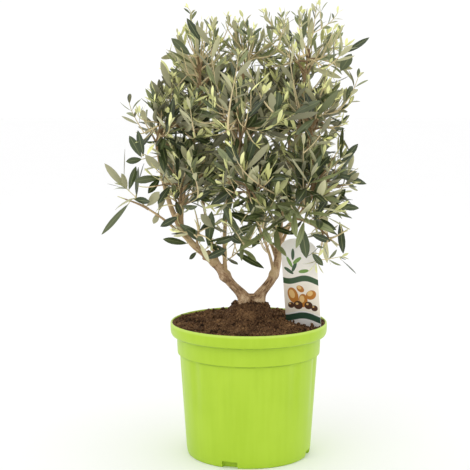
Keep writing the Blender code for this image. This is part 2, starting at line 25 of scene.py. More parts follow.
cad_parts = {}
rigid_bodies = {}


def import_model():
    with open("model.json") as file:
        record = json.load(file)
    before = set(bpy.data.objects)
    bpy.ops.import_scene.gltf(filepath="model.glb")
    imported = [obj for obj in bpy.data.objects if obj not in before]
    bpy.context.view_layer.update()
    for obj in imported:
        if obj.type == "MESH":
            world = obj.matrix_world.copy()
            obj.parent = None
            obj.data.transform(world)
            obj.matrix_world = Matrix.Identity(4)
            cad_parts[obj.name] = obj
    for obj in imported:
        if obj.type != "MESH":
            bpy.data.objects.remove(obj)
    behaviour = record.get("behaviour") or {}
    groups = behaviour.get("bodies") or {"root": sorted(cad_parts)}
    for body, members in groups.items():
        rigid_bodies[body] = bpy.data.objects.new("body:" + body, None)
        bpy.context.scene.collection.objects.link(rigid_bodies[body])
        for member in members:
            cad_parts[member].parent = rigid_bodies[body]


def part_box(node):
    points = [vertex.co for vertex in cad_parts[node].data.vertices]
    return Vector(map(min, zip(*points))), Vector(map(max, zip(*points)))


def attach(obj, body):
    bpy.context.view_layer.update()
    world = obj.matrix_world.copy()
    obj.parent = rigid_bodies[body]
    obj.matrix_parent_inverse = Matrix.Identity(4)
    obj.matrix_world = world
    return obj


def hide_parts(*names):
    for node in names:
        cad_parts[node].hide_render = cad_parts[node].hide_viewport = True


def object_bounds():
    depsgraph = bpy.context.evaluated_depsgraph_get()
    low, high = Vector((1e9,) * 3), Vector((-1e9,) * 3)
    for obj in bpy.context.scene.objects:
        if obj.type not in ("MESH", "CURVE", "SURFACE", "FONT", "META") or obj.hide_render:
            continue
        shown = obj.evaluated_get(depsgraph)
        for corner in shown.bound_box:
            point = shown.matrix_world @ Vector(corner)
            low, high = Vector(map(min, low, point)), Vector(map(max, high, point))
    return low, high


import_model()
CAD_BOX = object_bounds()
POT_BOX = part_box("pot")

bl_info = {
    "name": "Potted olive tree",
    "version": (1, 0, 0),
    "blender": (4, 5, 0),
    "location": "3D View > Sidebar > Olive",
    "description": "Grows bark, twigs and leaves on a potted olive, and finishes its soil, pot and label",
    "category": "Object",
}

UP = Vector((0.0, 0.0, 1.0))
GAP = 0.0003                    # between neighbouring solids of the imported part
WELD = 0.00001

# ---------------------------------------------------------------- pot, soil and label sizes
POT_SEGMENTS = 360
POT_WALL = 0.0025
FOOT_RADIUS = 0.083
BODY_TOP_RADIUS = 0.0925
COLLAR_RADIUS = 0.0956
COLLAR_BOTTOM = 0.137
RIM_BOTTOM = 0.162
FLOOR = 0.003
FOOT_RING_RADIUS = 0.066
FOOT_RING_HEIGHT = 0.012
FLUTES = 12
FLUTE_TURN = math.radians(-20)
FLUTE_SPAN = math.radians(15)
NOTCHES = 4
NOTCH_TURN = math.radians(-17.8)
NOTCH_WIDTH = 0.021
NOTCH_HEIGHT = 0.009
NOTCH_DEPTH = 0.008

SOIL_EDGE = 0.1775
SOIL_RISE = 0.0075
HUMP_RISE = 0.014
HUMP_RADIUS = 0.023
HUMP_SPREAD = 0.017
HEAP_RISE = 0.006               # of the loose soil heaped against the trunk
HEAP_RADIUS = 0.016
GROUND = SOIL_EDGE + SOIL_RISE + HUMP_RISE
TRUNK_FOOT = Vector((0.003, 0.010, GROUND))

LABEL_WIDTH = 0.054
LABEL_SHOULDER = 0.109
LABEL_ARCH = 0.014
STAKE_WIDTH = 0.012
STAKE_LENGTH = 0.045
LABEL_FOOT = Vector((0.0738, -0.0048, 0.1705))
LABEL_TURN = math.radians(-34)
LABEL_LEAN = math.radians(8)
HOLLOW_DEPTH = 0.0055           # of the soil at the label's foot
HOLLOW_BEFORE = 0.006
HOLLOW_HALF = 0.030
HOLLOW_SPREAD = 0.011

# ---------------------------------------------------------------- limbs and masses
Limb = namedtuple("Limb", "name parent along tip heading base_radius tip_radius")
Mass = namedtuple("Mass", "name limb centre radius seed habit")
Route = namedtuple("Route", "points radii")

# The same limbs as the solids: each springs from a place along its parent and
# ends at its tip, where it points along its heading.
LIMBS = (
    Limb("bough_left", "stub_left", 1.0,
         (-0.058, 0.000, 0.2690), (-0.80, -0.10, 0.55), 0.0062, 0.0056),
    Limb("bough_right", "stub_right", 1.0,
         (0.0425, 0.018, 0.3035), (0.10, 0.02, 1.00), 0.0062, 0.0046),
    Limb("limb_left_outer", "bough_left", 1.0,
         (-0.120, -0.012, 0.4120), (-0.15, 0.00, 1.00), 0.0052, 0.0028),
    Limb("limb_left_spray", "limb_left_outer", 0.10,
         (-0.133, -0.034, 0.3340), (-0.85, -0.10, 0.50), 0.0030, 0.0020),
    Limb("limb_left_lead", "limb_left_outer", 0.30,
         (-0.064, -0.002, 0.4800), (0.02, 0.00, 1.00), 0.0042, 0.0024),
    Limb("limb_low_left", "limb_left_outer", 0.40,
         (-0.090, -0.034, 0.3340), (0.10, -0.30, 0.95), 0.0028, 0.0020),
    Limb("limb_skirt_left", "bough_left", 0.72,
         (-0.066, -0.026, 0.2830), (-0.35, -0.60, 0.70), 0.0026, 0.0020),
    Limb("limb_back_left", "limb_left_lead", 0.30,
         (-0.060, 0.056, 0.4400), (0.05, 0.35, 0.95), 0.0032, 0.0022),
    Limb("limb_back_low_left", "bough_left", 0.55,
         (-0.062, 0.048, 0.3330), (-0.20, 0.40, 0.90), 0.0034, 0.0024),
    Limb("limb_centre_lead", "bough_left", 0.34,
         (-0.009, 0.006, 0.4920), (0.08, 0.02, 1.00), 0.0036, 0.0024),
    Limb("limb_front_middle", "limb_centre_lead", 0.50,
         (-0.012, -0.054, 0.4080), (0.00, -0.35, 0.95), 0.0028, 0.0020),
    Limb("limb_low_front", "bough_right", 0.22,
         (0.008, -0.042, 0.3260), (-0.25, -0.40, 0.90), 0.0030, 0.0020),
    Limb("limb_back_low", "bough_right", 0.44,
         (0.010, 0.066, 0.3320), (-0.15, 0.45, 0.90), 0.0034, 0.0022),
    Limb("limb_right_lead", "bough_right", 1.0,
         (0.072, 0.002, 0.4900), (0.06, 0.00, 1.00), 0.0042, 0.0024),
    Limb("limb_shoulder_right", "limb_right_lead", 0.40,
         (0.078, -0.026, 0.4200), (0.20, -0.25, 0.95), 0.0028, 0.0020),
    Limb("limb_low_right", "bough_right", 0.84,
         (0.072, -0.024, 0.3340), (0.45, -0.30, 0.80), 0.0034, 0.0024),
    Limb("limb_droop_right", "limb_low_right", 0.66,
         (0.088, -0.036, 0.3090), (0.80, -0.20, -0.40), 0.0022, 0.0017),
    Limb("limb_back_right", "limb_right_lead", 0.28,
         (0.056, 0.058, 0.4420), (0.00, 0.35, 0.95), 0.0030, 0.0022),
    Limb("limb_back_low_right", "bough_right", 0.62,
         (0.072, 0.050, 0.3320), (0.40, 0.35, 0.85), 0.0032, 0.0022),
)

# The same masses as the solids, by the balls that they keep to.
MASSES = (
    Mass("top_left", "limb_left_lead", (-0.066, -0.008, 0.526), 0.070, 11, "crest"),
    Mass("top_middle", "limb_centre_lead", (-0.002, 0.006, 0.532), 0.068, 12, "crest"),
    Mass("top_right", "limb_right_lead", (0.078, 0.000, 0.528), 0.073, 13, "crest"),
    Mass("shoulder_left", "limb_left_outer", (-0.104, -0.018, 0.442), 0.067, 21, "shoulder"),
    Mass("front_middle", "limb_front_middle", (-0.012, -0.066, 0.452), 0.066, 22, "shoulder"),
    Mass("shoulder_right", "limb_shoulder_right", (0.084, -0.026, 0.452), 0.066, 23, "shoulder"),
    Mass("left_spray", "limb_left_spray", (-0.155, -0.034, 0.343), 0.047, 31, "spray"),
    Mass("low_left", "limb_low_left", (-0.090, -0.040, 0.366), 0.060, 32, "skirt"),
    Mass("low_front", "limb_low_front", (-0.002, -0.064, 0.364), 0.062, 33, "skirt"),
    Mass("low_right", "limb_low_right", (0.090, -0.036, 0.372), 0.064, 34, "skirt"),
    Mass("droop_right", "limb_droop_right", (0.102, -0.044, 0.296), 0.048, 35, "drooping"),
    Mass("skirt_left", "limb_skirt_left", (-0.064, -0.038, 0.304), 0.041, 36, "drooping"),
    Mass("back_left", "limb_back_left", (-0.058, 0.066, 0.476), 0.067, 41, "shoulder"),
    Mass("back_right", "limb_back_right", (0.056, 0.066, 0.478), 0.068, 42, "shoulder"),
    Mass("back_low_left", "limb_back_low_left", (-0.066, 0.062, 0.370), 0.061, 43, "skirt"),
    Mass("back_low", "limb_back_low", (0.004, 0.078, 0.374), 0.060, 44, "skirt"),
    Mass("back_low_right", "limb_back_low_right", (0.078, 0.060, 0.372), 0.061, 45, "skirt"),
)

STUB_START = GROUND - 0.006
STUBS = {
    "stub_left": ((-0.0030, 0.0100, STUB_START), (-0.0052, 0.0100, 0.2065), (-0.0160, 0.0100, 0.2204)),
    "stub_right": ((0.0100, 0.0100, STUB_START), (0.0126, 0.0105, 0.2070), (0.0232, 0.0113, 0.2225)),
}
STUB_RADII = {"stub_left": (0.0140, 0.0094, 0.0062), "stub_right": (0.0130, 0.0088, 0.0062)}
LIMB_STEPS = 26
SIDE_PULL = 2.6
LEAD = 0.004

# Knots and old cuts on the wood: limb, along, how far they stand out, half length.
KNOTS = (
    ("bough_left", 0.36, 0.0026, 0.0060),
    ("bough_left", 0.74, 0.0012, 0.0050),
    ("bough_left", 0.97, 0.0020, 0.0050),
    ("bough_right", 0.24, 0.0014, 0.0050),
    ("bough_right", 0.62, 0.0012, 0.0050),
    ("bough_right", 0.98, 0.0014, 0.0050),
    ("limb_left_outer", 0.31, 0.0013, 0.0040),
    ("limb_right_lead", 0.28, 0.0011, 0.0040),
)
# Pruned stubs: limb, along, direction, length, radius.
CUTS = (
    ("bough_left", 0.93, (-0.15, -0.75, 0.30), 0.011, 0.0042),
    ("bough_right", 0.56, (0.85, -0.45, 0.30), 0.009, 0.0030),
    ("stub_left", 0.50, (1.00, 0.03, 0.04), 0.016, 0.0056),
)


# ---------------------------------------------------------------- materials
def paint(red, green, blue):
    """A linear colour from 0 to 255 display values."""
    shares = (red / 255, green / 255, blue / 255)
    return tuple(v / 12.92 if v <= 0.04045 else ((v + 0.055) / 1.055) ** 2.4 for v in shares)


class Wire:
    """A shader socket that sums can be written with."""

    def __init__(self, surface, socket):
        self.surface = surface
        self.socket = socket

    def __add__(self, other):
        return self.surface.maths("ADD", self, other)

    def __sub__(self, other):
        return self.surface.maths("SUBTRACT", self, other)

    def __rsub__(self, other):
        return self.surface.maths("SUBTRACT", other, self)

    def __mul__(self, other):
        return self.surface.maths("MULTIPLY", self, other)

    def __truediv__(self, other):
        return self.surface.maths("DIVIDE", self, other)

    def __rtruediv__(self, other):
        return self.surface.maths("DIVIDE", other, self)

    def __pow__(self, other):
        return self.surface.maths("POWER", self, other)

    __radd__ = __add__
    __rmul__ = __mul__


class Surface:
    """A procedural material and the nodes that feed it."""

    def __init__(self, name, **constants):
        self.material = bpy.data.materials.new(name)
        self.material.use_nodes = True
        self.tree = self.material.node_tree
        self.shader = self.tree.nodes["Principled BSDF"]
        for socket, value in constants.items():
            self.shader.inputs[socket.replace("_", " ")].default_value = value

    def node(self, kind, settings=None, values=None, output=0):
        """Add a node, set it up, give its sockets their values or links, and return one output."""
        node = self.tree.nodes.new("ShaderNode" + kind)
        for name, value in (settings or {}).items():
            if name == "stops":
                self.set_stops(node.color_ramp.elements, value)
            else:
                setattr(node, name, value)
        for name, value in (values or {}).items():
            self.join(node.inputs[name], value)
        return Wire(self, node.outputs[output])

    @staticmethod
    def set_stops(elements, stops):
        while len(elements) < len(stops):
            elements.new(1.0)
        for element, (place, colour) in zip(elements, stops):
            element.position = place
            element.color = (*colour, 1.0)

    def join(self, socket, value):
        if isinstance(value, Wire):
            self.tree.links.new(value.socket, socket)
        elif socket.type == "RGBA" and len(value) == 3:
            socket.default_value = (*value, 1.0)
        else:
            socket.default_value = value

    def maths(self, operation, *values, clamp=False):
        return self.node("Math", {"operation": operation, "use_clamp": clamp}, dict(enumerate(values)))

    def mix(self, share, first, second):
        return self.node("Mix", {"data_type": "RGBA"}, {0: share, 6: first, 7: second}, 2)

    def step(self, value, low, high):
        """0 below low, 1 above high, smooth between."""
        ends = {"Value": value, "From Min": low, "From Max": high}
        return self.node("MapRange", {"interpolation_type": "SMOOTHSTEP"}, ends)

    def place(self):
        return self.node("TexCoord", output="Object")

    def noise(self, where, scale, detail=3.0, roughness=0.55):
        values = {"Vector": where, "Scale": scale, "Detail": detail, "Roughness": roughness}
        return self.node("TexNoise", None, values)

    def ramp(self, value, *stops):
        return self.node("ValToRGB", {"stops": stops}, {"Fac": value})

    def bump(self, height, distance, strength=1.0):
        normal = self.node("Bump", None, {"Height": height, "Distance": distance, "Strength": strength})
        self.feed("Normal", normal)

    def feed(self, socket, value):
        self.join(self.shader.inputs[socket], value)


# ---------------------------------------------------------------- modelling helpers
def deselect():
    if bpy.context.object and bpy.context.object.mode != "OBJECT":
        bpy.ops.object.mode_set(mode="OBJECT")
    bpy.ops.object.select_all(action="DESELECT")


def start(name, kind, **options):
    """Add a mesh primitive with nothing else selected."""
    deselect()
    getattr(bpy.ops.mesh, "primitive_%s_add" % kind)(**options)
    piece = bpy.context.object
    piece.name = name
    piece.data.name = name
    return piece


def edit():
    bpy.ops.object.mode_set(mode="EDIT")


def leave_edit():
    bpy.ops.object.mode_set(mode="OBJECT")


def choose(piece, test):
    """In edit mode, select only the faces whose middle passes the test."""
    shape = bmesh.from_edit_mesh(piece.data)
    bpy.ops.mesh.select_all(action="DESELECT")
    for face in shape.faces:
        face.select_set(test(face.calc_center_median()))
    bmesh.update_edit_mesh(piece.data)


def carry_selected(piece, step):
    """In edit mode, move the selected vertices by a matrix."""
    shape = bmesh.from_edit_mesh(piece.data)
    for vertex in shape.verts:
        if vertex.select:
            vertex.co = step @ vertex.co
    bmesh.update_edit_mesh(piece.data)


def outward(piece):
    """Weld the seams of a piece and turn its faces outwards."""
    deselect()
    piece.select_set(True)
    bpy.context.view_layer.objects.active = piece
    edit()
    bpy.ops.mesh.select_all(action="SELECT")
    bpy.ops.mesh.remove_doubles(threshold=WELD)
    bpy.ops.mesh.normals_make_consistent(inside=False)
    leave_edit()


def modify(piece, kind, **settings):
    """Add a modifier and apply it."""
    deselect()
    piece.select_set(True)
    bpy.context.view_layer.objects.active = piece
    modifier = piece.modifiers.new(kind.title(), kind)
    for name, value in settings.items():
        setattr(modifier, name, value)
    bpy.ops.object.modifier_apply(modifier=modifier.name)


def joined(name, items):
    """One piece from several."""
    deselect()
    for item in items:
        item.select_set(True)
    bpy.context.view_layer.objects.active = items[0]
    bpy.ops.object.join()
    piece = bpy.context.object
    piece.name = name
    piece.data.name = name
    return piece


def smooth(piece, angle=35):
    deselect()
    piece.select_set(True)
    bpy.context.view_layer.objects.active = piece
    bpy.ops.object.shade_smooth_by_angle(angle=math.radians(angle))


def settle(piece):
    """Put a piece's place into its mesh, so that its object sits at the origin."""
    deselect()
    piece.select_set(True)
    bpy.context.view_layer.objects.active = piece
    bpy.ops.object.transform_apply(location=True, rotation=True, scale=True)


def finish_piece(piece, slot, materials, *nodes):
    if len(materials) == 1:
        piece.data.materials.clear()
    for material in materials:
        piece.data.materials.append(material)
    if nodes:
        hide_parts(*nodes)
    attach(piece, "root")
    return piece


def coordinates(piece):
    flat = np.empty(len(piece.data.vertices) * 3)
    piece.data.vertices.foreach_get("co", flat)
    return flat.reshape(-1, 3)


def move_vertices(piece, places):
    piece.data.vertices.foreach_set("co", np.ascontiguousarray(places, dtype=np.float32).ravel())
    piece.data.update()


def mesh_from_arrays(name, points, faces, kinds=None):
    """A piece from joined arrays, with a material number for each face."""
    mesh = bpy.data.meshes.new(name)
    mesh.from_pydata([tuple(point) for point in points], [], faces)
    if kinds is not None:
        mesh.polygons.foreach_set("material_index", np.asarray(kinds, dtype=np.int32))
    mesh.update()
    piece = bpy.data.objects.new(name, mesh)
    bpy.context.scene.collection.objects.link(piece)
    return piece


def ring_solid(name, profile, segments):
    """A round solid: a filled circle, extruded and scaled to each (radius, height) in turn."""
    (radius, height), *rings = profile
    piece = start(name, "circle", vertices=segments, radius=radius, location=(0, 0, height), fill_type="NGON")
    settle(piece)
    edit()
    bpy.ops.mesh.select_all(action="SELECT")
    for wider, higher in rings:
        bpy.ops.mesh.extrude_region_move(TRANSFORM_OT_translate={"value": (0, 0, higher - height)})
        share = wider / radius
        bpy.ops.transform.resize(value=(share, share, 1.0), center_override=(0, 0, higher))
        radius, height = wider, higher
    leave_edit()
    outward(piece)
    return piece


def ease(value):
    value = min(max(value, 0.0), 1.0)
    return value * value * (3.0 - 2.0 * value)


# ---------------------------------------------------------------- routes of the limbs
def place_along(route, along):
    """The point, direction and radius at a fraction of a route's length."""
    steps = [(b - a).length for a, b in zip(route.points, route.points[1:])]
    left = along * sum(steps)
    for number, step in enumerate(steps):
        if left <= step or number == len(steps) - 1:
            share = min(left / step, 1.0)
            begin, end = route.points[number], route.points[number + 1]
            radius = route.radii[number] * (1 - share) + route.radii[number + 1] * share
            return begin.lerp(end, share), (end - begin).normalized(), radius
        left -= step
    raise ValueError("empty route")


def route_length(route):
    return sum((b - a).length for a, b in zip(route.points, route.points[1:]))


def grown_route(begin, leaving, tip, heading, radii, steps, lead=0.0):
    """A tapering route that leaves one way and ends another, straight for its lead."""
    first = begin + leaving * lead
    reach = (tip - first).length / 3
    points = interpolate_bezier(first, first + leaving * reach, tip - heading * reach, tip, steps + 1)
    points = [Vector(point) for point in points]
    if lead:
        points.insert(0, begin)
    last = len(points) - 1
    base, end = radii
    return Route(points, [base + (end - base) * number / last for number in range(last + 1)])


def limb_route(limb, routes):
    begin, parent_way, _ = place_along(routes[limb.parent], limb.along)
    tip = Vector(limb.tip)
    heading = Vector(limb.heading).normalized()
    radii = (limb.base_radius, limb.tip_radius)
    if limb.along == 1.0:
        return grown_route(begin, parent_way, tip, heading, radii, LIMB_STEPS, LEAD)
    leaving = (parent_way + (tip - begin).normalized() * SIDE_PULL).normalized()
    return grown_route(begin, leaving, tip, heading, radii, LIMB_STEPS)


def stub_route(name, steps=8):
    """The corners of a stub, rounded."""
    low, middle, high = [Vector(point) for point in STUBS[name]]
    points = []
    for step in range(steps + 1):
        share = step / steps
        control = middle * 2 - (low + high) / 2
        points.append(low.lerp(control, share).lerp(control.lerp(high, share), share))
    foot, waist, top = STUB_RADII[name]
    bend = waist * 2 - (foot + top) / 2
    radii = []
    for step in range(steps + 1):
        share = step / steps
        radii.append((foot * (1 - share) + bend * share) * (1 - share) + (bend * (1 - share) + top * share) * share)
    return Route(points, radii)


def all_routes():
    routes = {name: stub_route(name) for name in STUBS}
    for limb in LIMBS:
        routes[limb.name] = limb_route(limb, routes)
    return routes


def ring_frames(points):
    """A frame at each point of a route, carried along it without twisting."""
    ways = [(b - a).normalized() for a, b in zip(points, points[1:])]
    ways.append(ways[-1])
    side = ways[0].orthogonal().normalized()
    frames = []
    for number, point in enumerate(points):
        way = ways[number] if number == 0 else (ways[number - 1] + ways[number]).normalized()
        side = (side - way * side.dot(way)).normalized()
        turn = Matrix((side, way.cross(side), way)).transposed().to_4x4()
        frames.append(Matrix.Translation(point) @ turn)
    return frames


# ---------------------------------------------------------------- wood
WOOD_SIDES = 20
WOOD_VOXEL = 0.0008
FURROW_DEPTH = 0.00042
COLLAR_FLARE = 0.45             # a side limb's swelling where it leaves its parent
COLLAR_SPAN = 0.0045
SLIM = 0.55                     # how far the thinnest limbs are slimmed
STOUT = 0.0058                  # the radius from which a limb is not slimmed
ROOT_LOBES = 5
ROOT_FLARE = 0.16


def wood_tube(name, route):
    """A filled circle, extruded ring by ring along a route."""
    frames = ring_frames(route.points)
    rings = [place @ Matrix.Diagonal((radius, radius, 1.0, 1.0)) for place, radius in zip(frames, route.radii)]
    piece = start(name, "circle", vertices=WOOD_SIDES, radius=1.0, fill_type="NGON")
    edit()
    bpy.ops.mesh.select_all(action="SELECT")
    carry_selected(piece, rings[0])
    for before, after in zip(rings, rings[1:]):
        bpy.ops.mesh.extrude_region()
        carry_selected(piece, after @ before.inverted())
    bpy.ops.mesh.select_all(action="SELECT")
    bpy.ops.mesh.normals_make_consistent(inside=False)
    leave_edit()
    return piece


def knotted(limb_name, route, side_limb):
    """A limb's radii with its knots, and with a collar where it leaves its parent."""
    length = route_length(route)
    last = len(route.points) - 1
    radii = []
    for number, radius in enumerate(route.radii):
        along = number / last
        for limb, place, height, half in KNOTS:
            if limb == limb_name:
                away = (along - place) * length / half
                radius += height * math.exp(-away * away)
        radius *= SLIM + (1.0 - SLIM) * min(radius / STOUT, 1.0)
        if side_limb:
            radius *= 1.0 + COLLAR_FLARE * math.exp(-along * length / COLLAR_SPAN)
        radii.append(radius)
    return Route(route.points, radii)


def wood_samples(routes):
    """Points along every limb, with their frames, radii and the length behind them."""
    places, frames, radii, behind = [], [], [], []
    for number, route in enumerate(routes.values()):
        run = 0.31 * number
        last = route.points[0]
        for point, place, radius in zip(route.points, ring_frames(route.points), route.radii):
            run += (point - last).length
            last = point
            places.append(point)
            frames.append(place)
            radii.append(radius)
            behind.append(run)
    return places, frames, radii, behind


def add_relief(wood, routes):
    """Furrows along the limbs, lumps, and lobes where the trunk meets the soil. Returns each
    vertex's place in its own limb's frame and its limb's radius, for the bark to follow."""
    places, frames, radii, behind = wood_samples(routes)
    tree = KDTree(len(places))
    for number, point in enumerate(places):
        tree.insert(point, number)
    tree.balance()
    inverses = [place.inverted() for place in frames]
    corners = coordinates(wood)
    normals = np.empty(corners.size)
    wood.data.vertex_normals.foreach_get("vector", normals)
    grain = np.empty(corners.shape, dtype=np.float32)
    girth = np.empty(len(corners), dtype=np.float32)
    push = np.empty(len(corners))
    for number, corner in enumerate(corners):
        corner = Vector(corner)
        _, nearest, _ = tree.find(corner)
        local = inverses[nearest] @ corner
        radius = radii[nearest]
        along = behind[nearest] + local.z
        where = Vector((local.x * 520, local.y * 520, along * 62))
        furrow = abs(noise.noise(where)) + 0.5 * abs(noise.noise(where * 2.3))
        lumps = noise.noise(Vector((local.x * 90, local.y * 90, along * 75)))
        thick = min(radius / 0.0072, 1.4)
        push[number] = -FURROW_DEPTH * thick * (furrow - 0.25) + 0.045 * radius * lumps
        low = 1.0 - ease((corner.z - GROUND) / 0.016)
        if low > 0.0:
            round_turn = math.atan2(corner.y - TRUNK_FOOT.y, corner.x - TRUNK_FOOT.x)
            push[number] += 0.011 * ROOT_FLARE * low * (1.0 + math.cos(ROOT_LOBES * round_turn + 0.7))
        grain[number] = (local.x, local.y, along)
        girth[number] = radius
    move_vertices(wood, corners + normals.reshape(-1, 3) * push[:, None])
    return grain, girth


def bark_surface(settings):
    bark = Surface("bark", Roughness=0.82, Specular_IOR_Level=0.3)
    grain = bark.node("Attribute", {"attribute_name": "grain"}, output="Vector")
    girth = bark.node("Attribute", {"attribute_name": "girth"}, output="Fac")
    stretch = bark.node("Mapping", None, {"Vector": grain, "Scale": (1.0, 1.0, 0.14)})
    streaks = bark.noise(stretch, 620.0, 5.0, 0.62)
    patches = bark.noise(bark.place(), 75.0, 4.0, 0.6)
    specks = bark.noise(bark.place(), 900.0, 3.0, 0.7)
    old = bark.ramp(streaks * 0.5 + patches * 0.5,
                    (0.36, settings.furrow), (0.46, settings.old), (0.59, settings.crest))
    thin = bark.ramp(patches * 0.6 + streaks * 0.4, (0.32, settings.old), (0.50, settings.shoot), (0.66, settings.crest))
    colour = bark.mix(bark.step(girth, 0.0026, 0.0052), thin, old)
    colour = bark.mix(bark.step(specks, 0.60, 0.74) * 0.35, colour, settings.furrow)
    bark.feed("Base Color", colour)
    bark.feed("Roughness", 0.72 + streaks * 0.2)
    bark.bump(streaks * 0.75 + specks * 0.25, 0.0006, 0.8)
    return bark.material


def make_wood(settings):
    routes = all_routes()
    tubes = []
    for name, route in routes.items():
        side_limb = any(limb.name == name and limb.along < 1.0 for limb in LIMBS)
        routes[name] = knotted(name, route, side_limb)
        tubes.append(wood_tube(name + "_wood", routes[name]))
    for number, (limb, along, way, length, radius) in enumerate(CUTS):
        begin, _, _ = place_along(routes[limb], along)
        way = Vector(way).normalized()
        points = [begin + way * length * step / 4 for step in range(5)]
        routes["cut_%d" % number] = Route(points, [radius * share for share in (1.25, 1.1, 1.0, 0.98, 0.9)])
        tubes.append(wood_tube("cut_%d" % number, routes["cut_%d" % number]))
    wood = joined("trunk_and_boughs", tubes)
    settle(wood)
    modify(wood, "REMESH", mode="VOXEL", voxel_size=WOOD_VOXEL)
    modify(wood, "SMOOTH", factor=0.5, iterations=4)
    grain, girth = add_relief(wood, routes)
    for name, kind, values in (("grain", "FLOAT_VECTOR", grain), ("girth", "FLOAT", girth)):
        attribute = wood.data.attributes.new(name, kind, "POINT")
        attribute.data.foreach_set("vector" if kind == "FLOAT_VECTOR" else "value", values.ravel())
    bpy.ops.object.shade_smooth()
    finish_piece(wood, "bark", [bark_surface(settings)], "trunk", *(limb.name for limb in LIMBS))


# ---------------------------------------------------------------- shoots, twigs and leaves
# How the shoots of a mass grow: how many, how upright, the lowest they aim (-1 is straight
# down), their reach as shares of the mass's radius, the distance between their twigs, their
# grown leaves' length and width, how far a leaf's direction nods or lifts, how much paler
# the leaves are, how grown the leaves at a tip are, how grown they are where they stop being
# young, and how far back from its tip a shoot is pale.
Habit = namedtuple("Habit", "shoots rise lowest reach twigs leaf breadth nod pale tips young pale_wood")
HABITS = {
    "crest": Habit(14, 1.70, -0.50, (0.46, 1.00), 0.044, 0.043, 0.0086, (0.05, 0.35), 0.25, 0.26, 0.64, 0.048),
    "shoulder": Habit(19, 1.20, -0.75, (0.62, 0.94), 0.034, 0.046, 0.0090, (-0.10, 0.25), -0.20, 0.30, 0.56, 0.034),
    "skirt": Habit(16, 0.45, -1.00, (0.58, 0.90), 0.032, 0.053, 0.0102, (-0.42, 0.06), -0.02, 0.55, 0.62, 0.020),
    "drooping": Habit(6, -0.10, -1.00, (0.50, 0.86), 0.036, 0.048, 0.0100, (-0.60, 0.00), -0.08, 0.50, 0.55, 0.030),
    "spray": Habit(3, 0.30, -0.60, (0.30, 0.50), 0.040, 0.036, 0.0095, (-0.40, 0.10), -0.12, 0.40, 0.50, 0.085),
}
SHOOT_RADIUS = 0.00150
TIP_RADIUS = 0.00050
TWIG_RADIUS = 0.0008
STEM_REACH = 0.36
OUTWARD_PULL = 0.15
STEM_PULL = 0.45
LOW_RISE = 0.8                  # how much less the shoots that aim down turn up at their tips
PAIR_SPACING = 0.0132
SPRIG_GIRTH = 1.3
SPRIG_TIPS = 0.50               # how grown the leaves at a sprig's tip are
LEAF_ANGLES = (math.radians(24), math.radians(58))
YOUNG_SPAN = 0.042              # from a shoot's tip, where the leaves are still small
LEAF_SPACING = 0.0031
SHOOT_CELL = -0.022             # how far a shoot may pass into its neighbours' space
REACH_SLACK = 0.003             # how far a leaf may pass the ball of its mass
BOX_SLACK = 0.010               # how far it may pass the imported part's box
CELL_SLACK = -0.030             # how far it may pass into its neighbours' space
TRIMS = (1.0, 0.85, 0.7, 0.55)
SPRING_ROOM = 0.0035            # how near an axis another starts that springs from it
SPINE_SHARES = (0.3, 0.5, 0.7, 0.85, 1.0)
VIEWER = Vector((-0.0183, -1.50, 0.4726))
VIEW_ROOM = 0.0028              # half the width kept clear before a shown stem, per metre of distance

# The crown's edges: height, furthest left, furthest right.
CROWN_EDGES = (
    (0.240, -0.042, 0.093), (0.280, -0.108, 0.127), (0.304, -0.116, 0.127), (0.336, -0.132, 0.134),
    (0.368, -0.148, 0.146), (0.400, -0.160, 0.140), (0.432, -0.148, 0.125), (0.463, -0.146, 0.127),
    (0.494, -0.132, 0.144), (0.525, -0.117, 0.137), (0.556, -0.094, 0.127), (0.587, -0.078, 0.114),
)

# The crown's top edge: place across, height.
CROWN_TOPS = (
    (-0.097, 0.561), (-0.077, 0.582), (-0.056, 0.574), (-0.035, 0.574), (-0.014, 0.583), (0.006, 0.578), (0.017, 0.578),
    (0.034, 0.587), (0.053, 0.583), (0.066, 0.586), (0.079, 0.595), (0.092, 0.599), (0.105, 0.591), (0.120, 0.570),
)

# Gaps in the crown's front that leaves keep out of: place across, height, half width.
GAPS_DEPTH = -0.03
GAPS = (
    (-0.032, 0.565, 0.0104), (0.010, 0.570, 0.0078), (0.057, 0.570, 0.0065), (-0.053, 0.570, 0.0065),
    (-0.075, 0.539, 0.0065), (0.086, 0.498, 0.0078), (-0.114, 0.431, 0.0065), (0.107, 0.405, 0.0078),
    (0.112, 0.357, 0.0078), (-0.105, 0.336, 0.0104), (-0.122, 0.362, 0.0078), (-0.072, 0.327, 0.0078),
    (-0.089, 0.317, 0.0065), (-0.009, 0.357, 0.0065), (0.017, 0.288, 0.0065), (-0.055, 0.292, 0.0078),
)

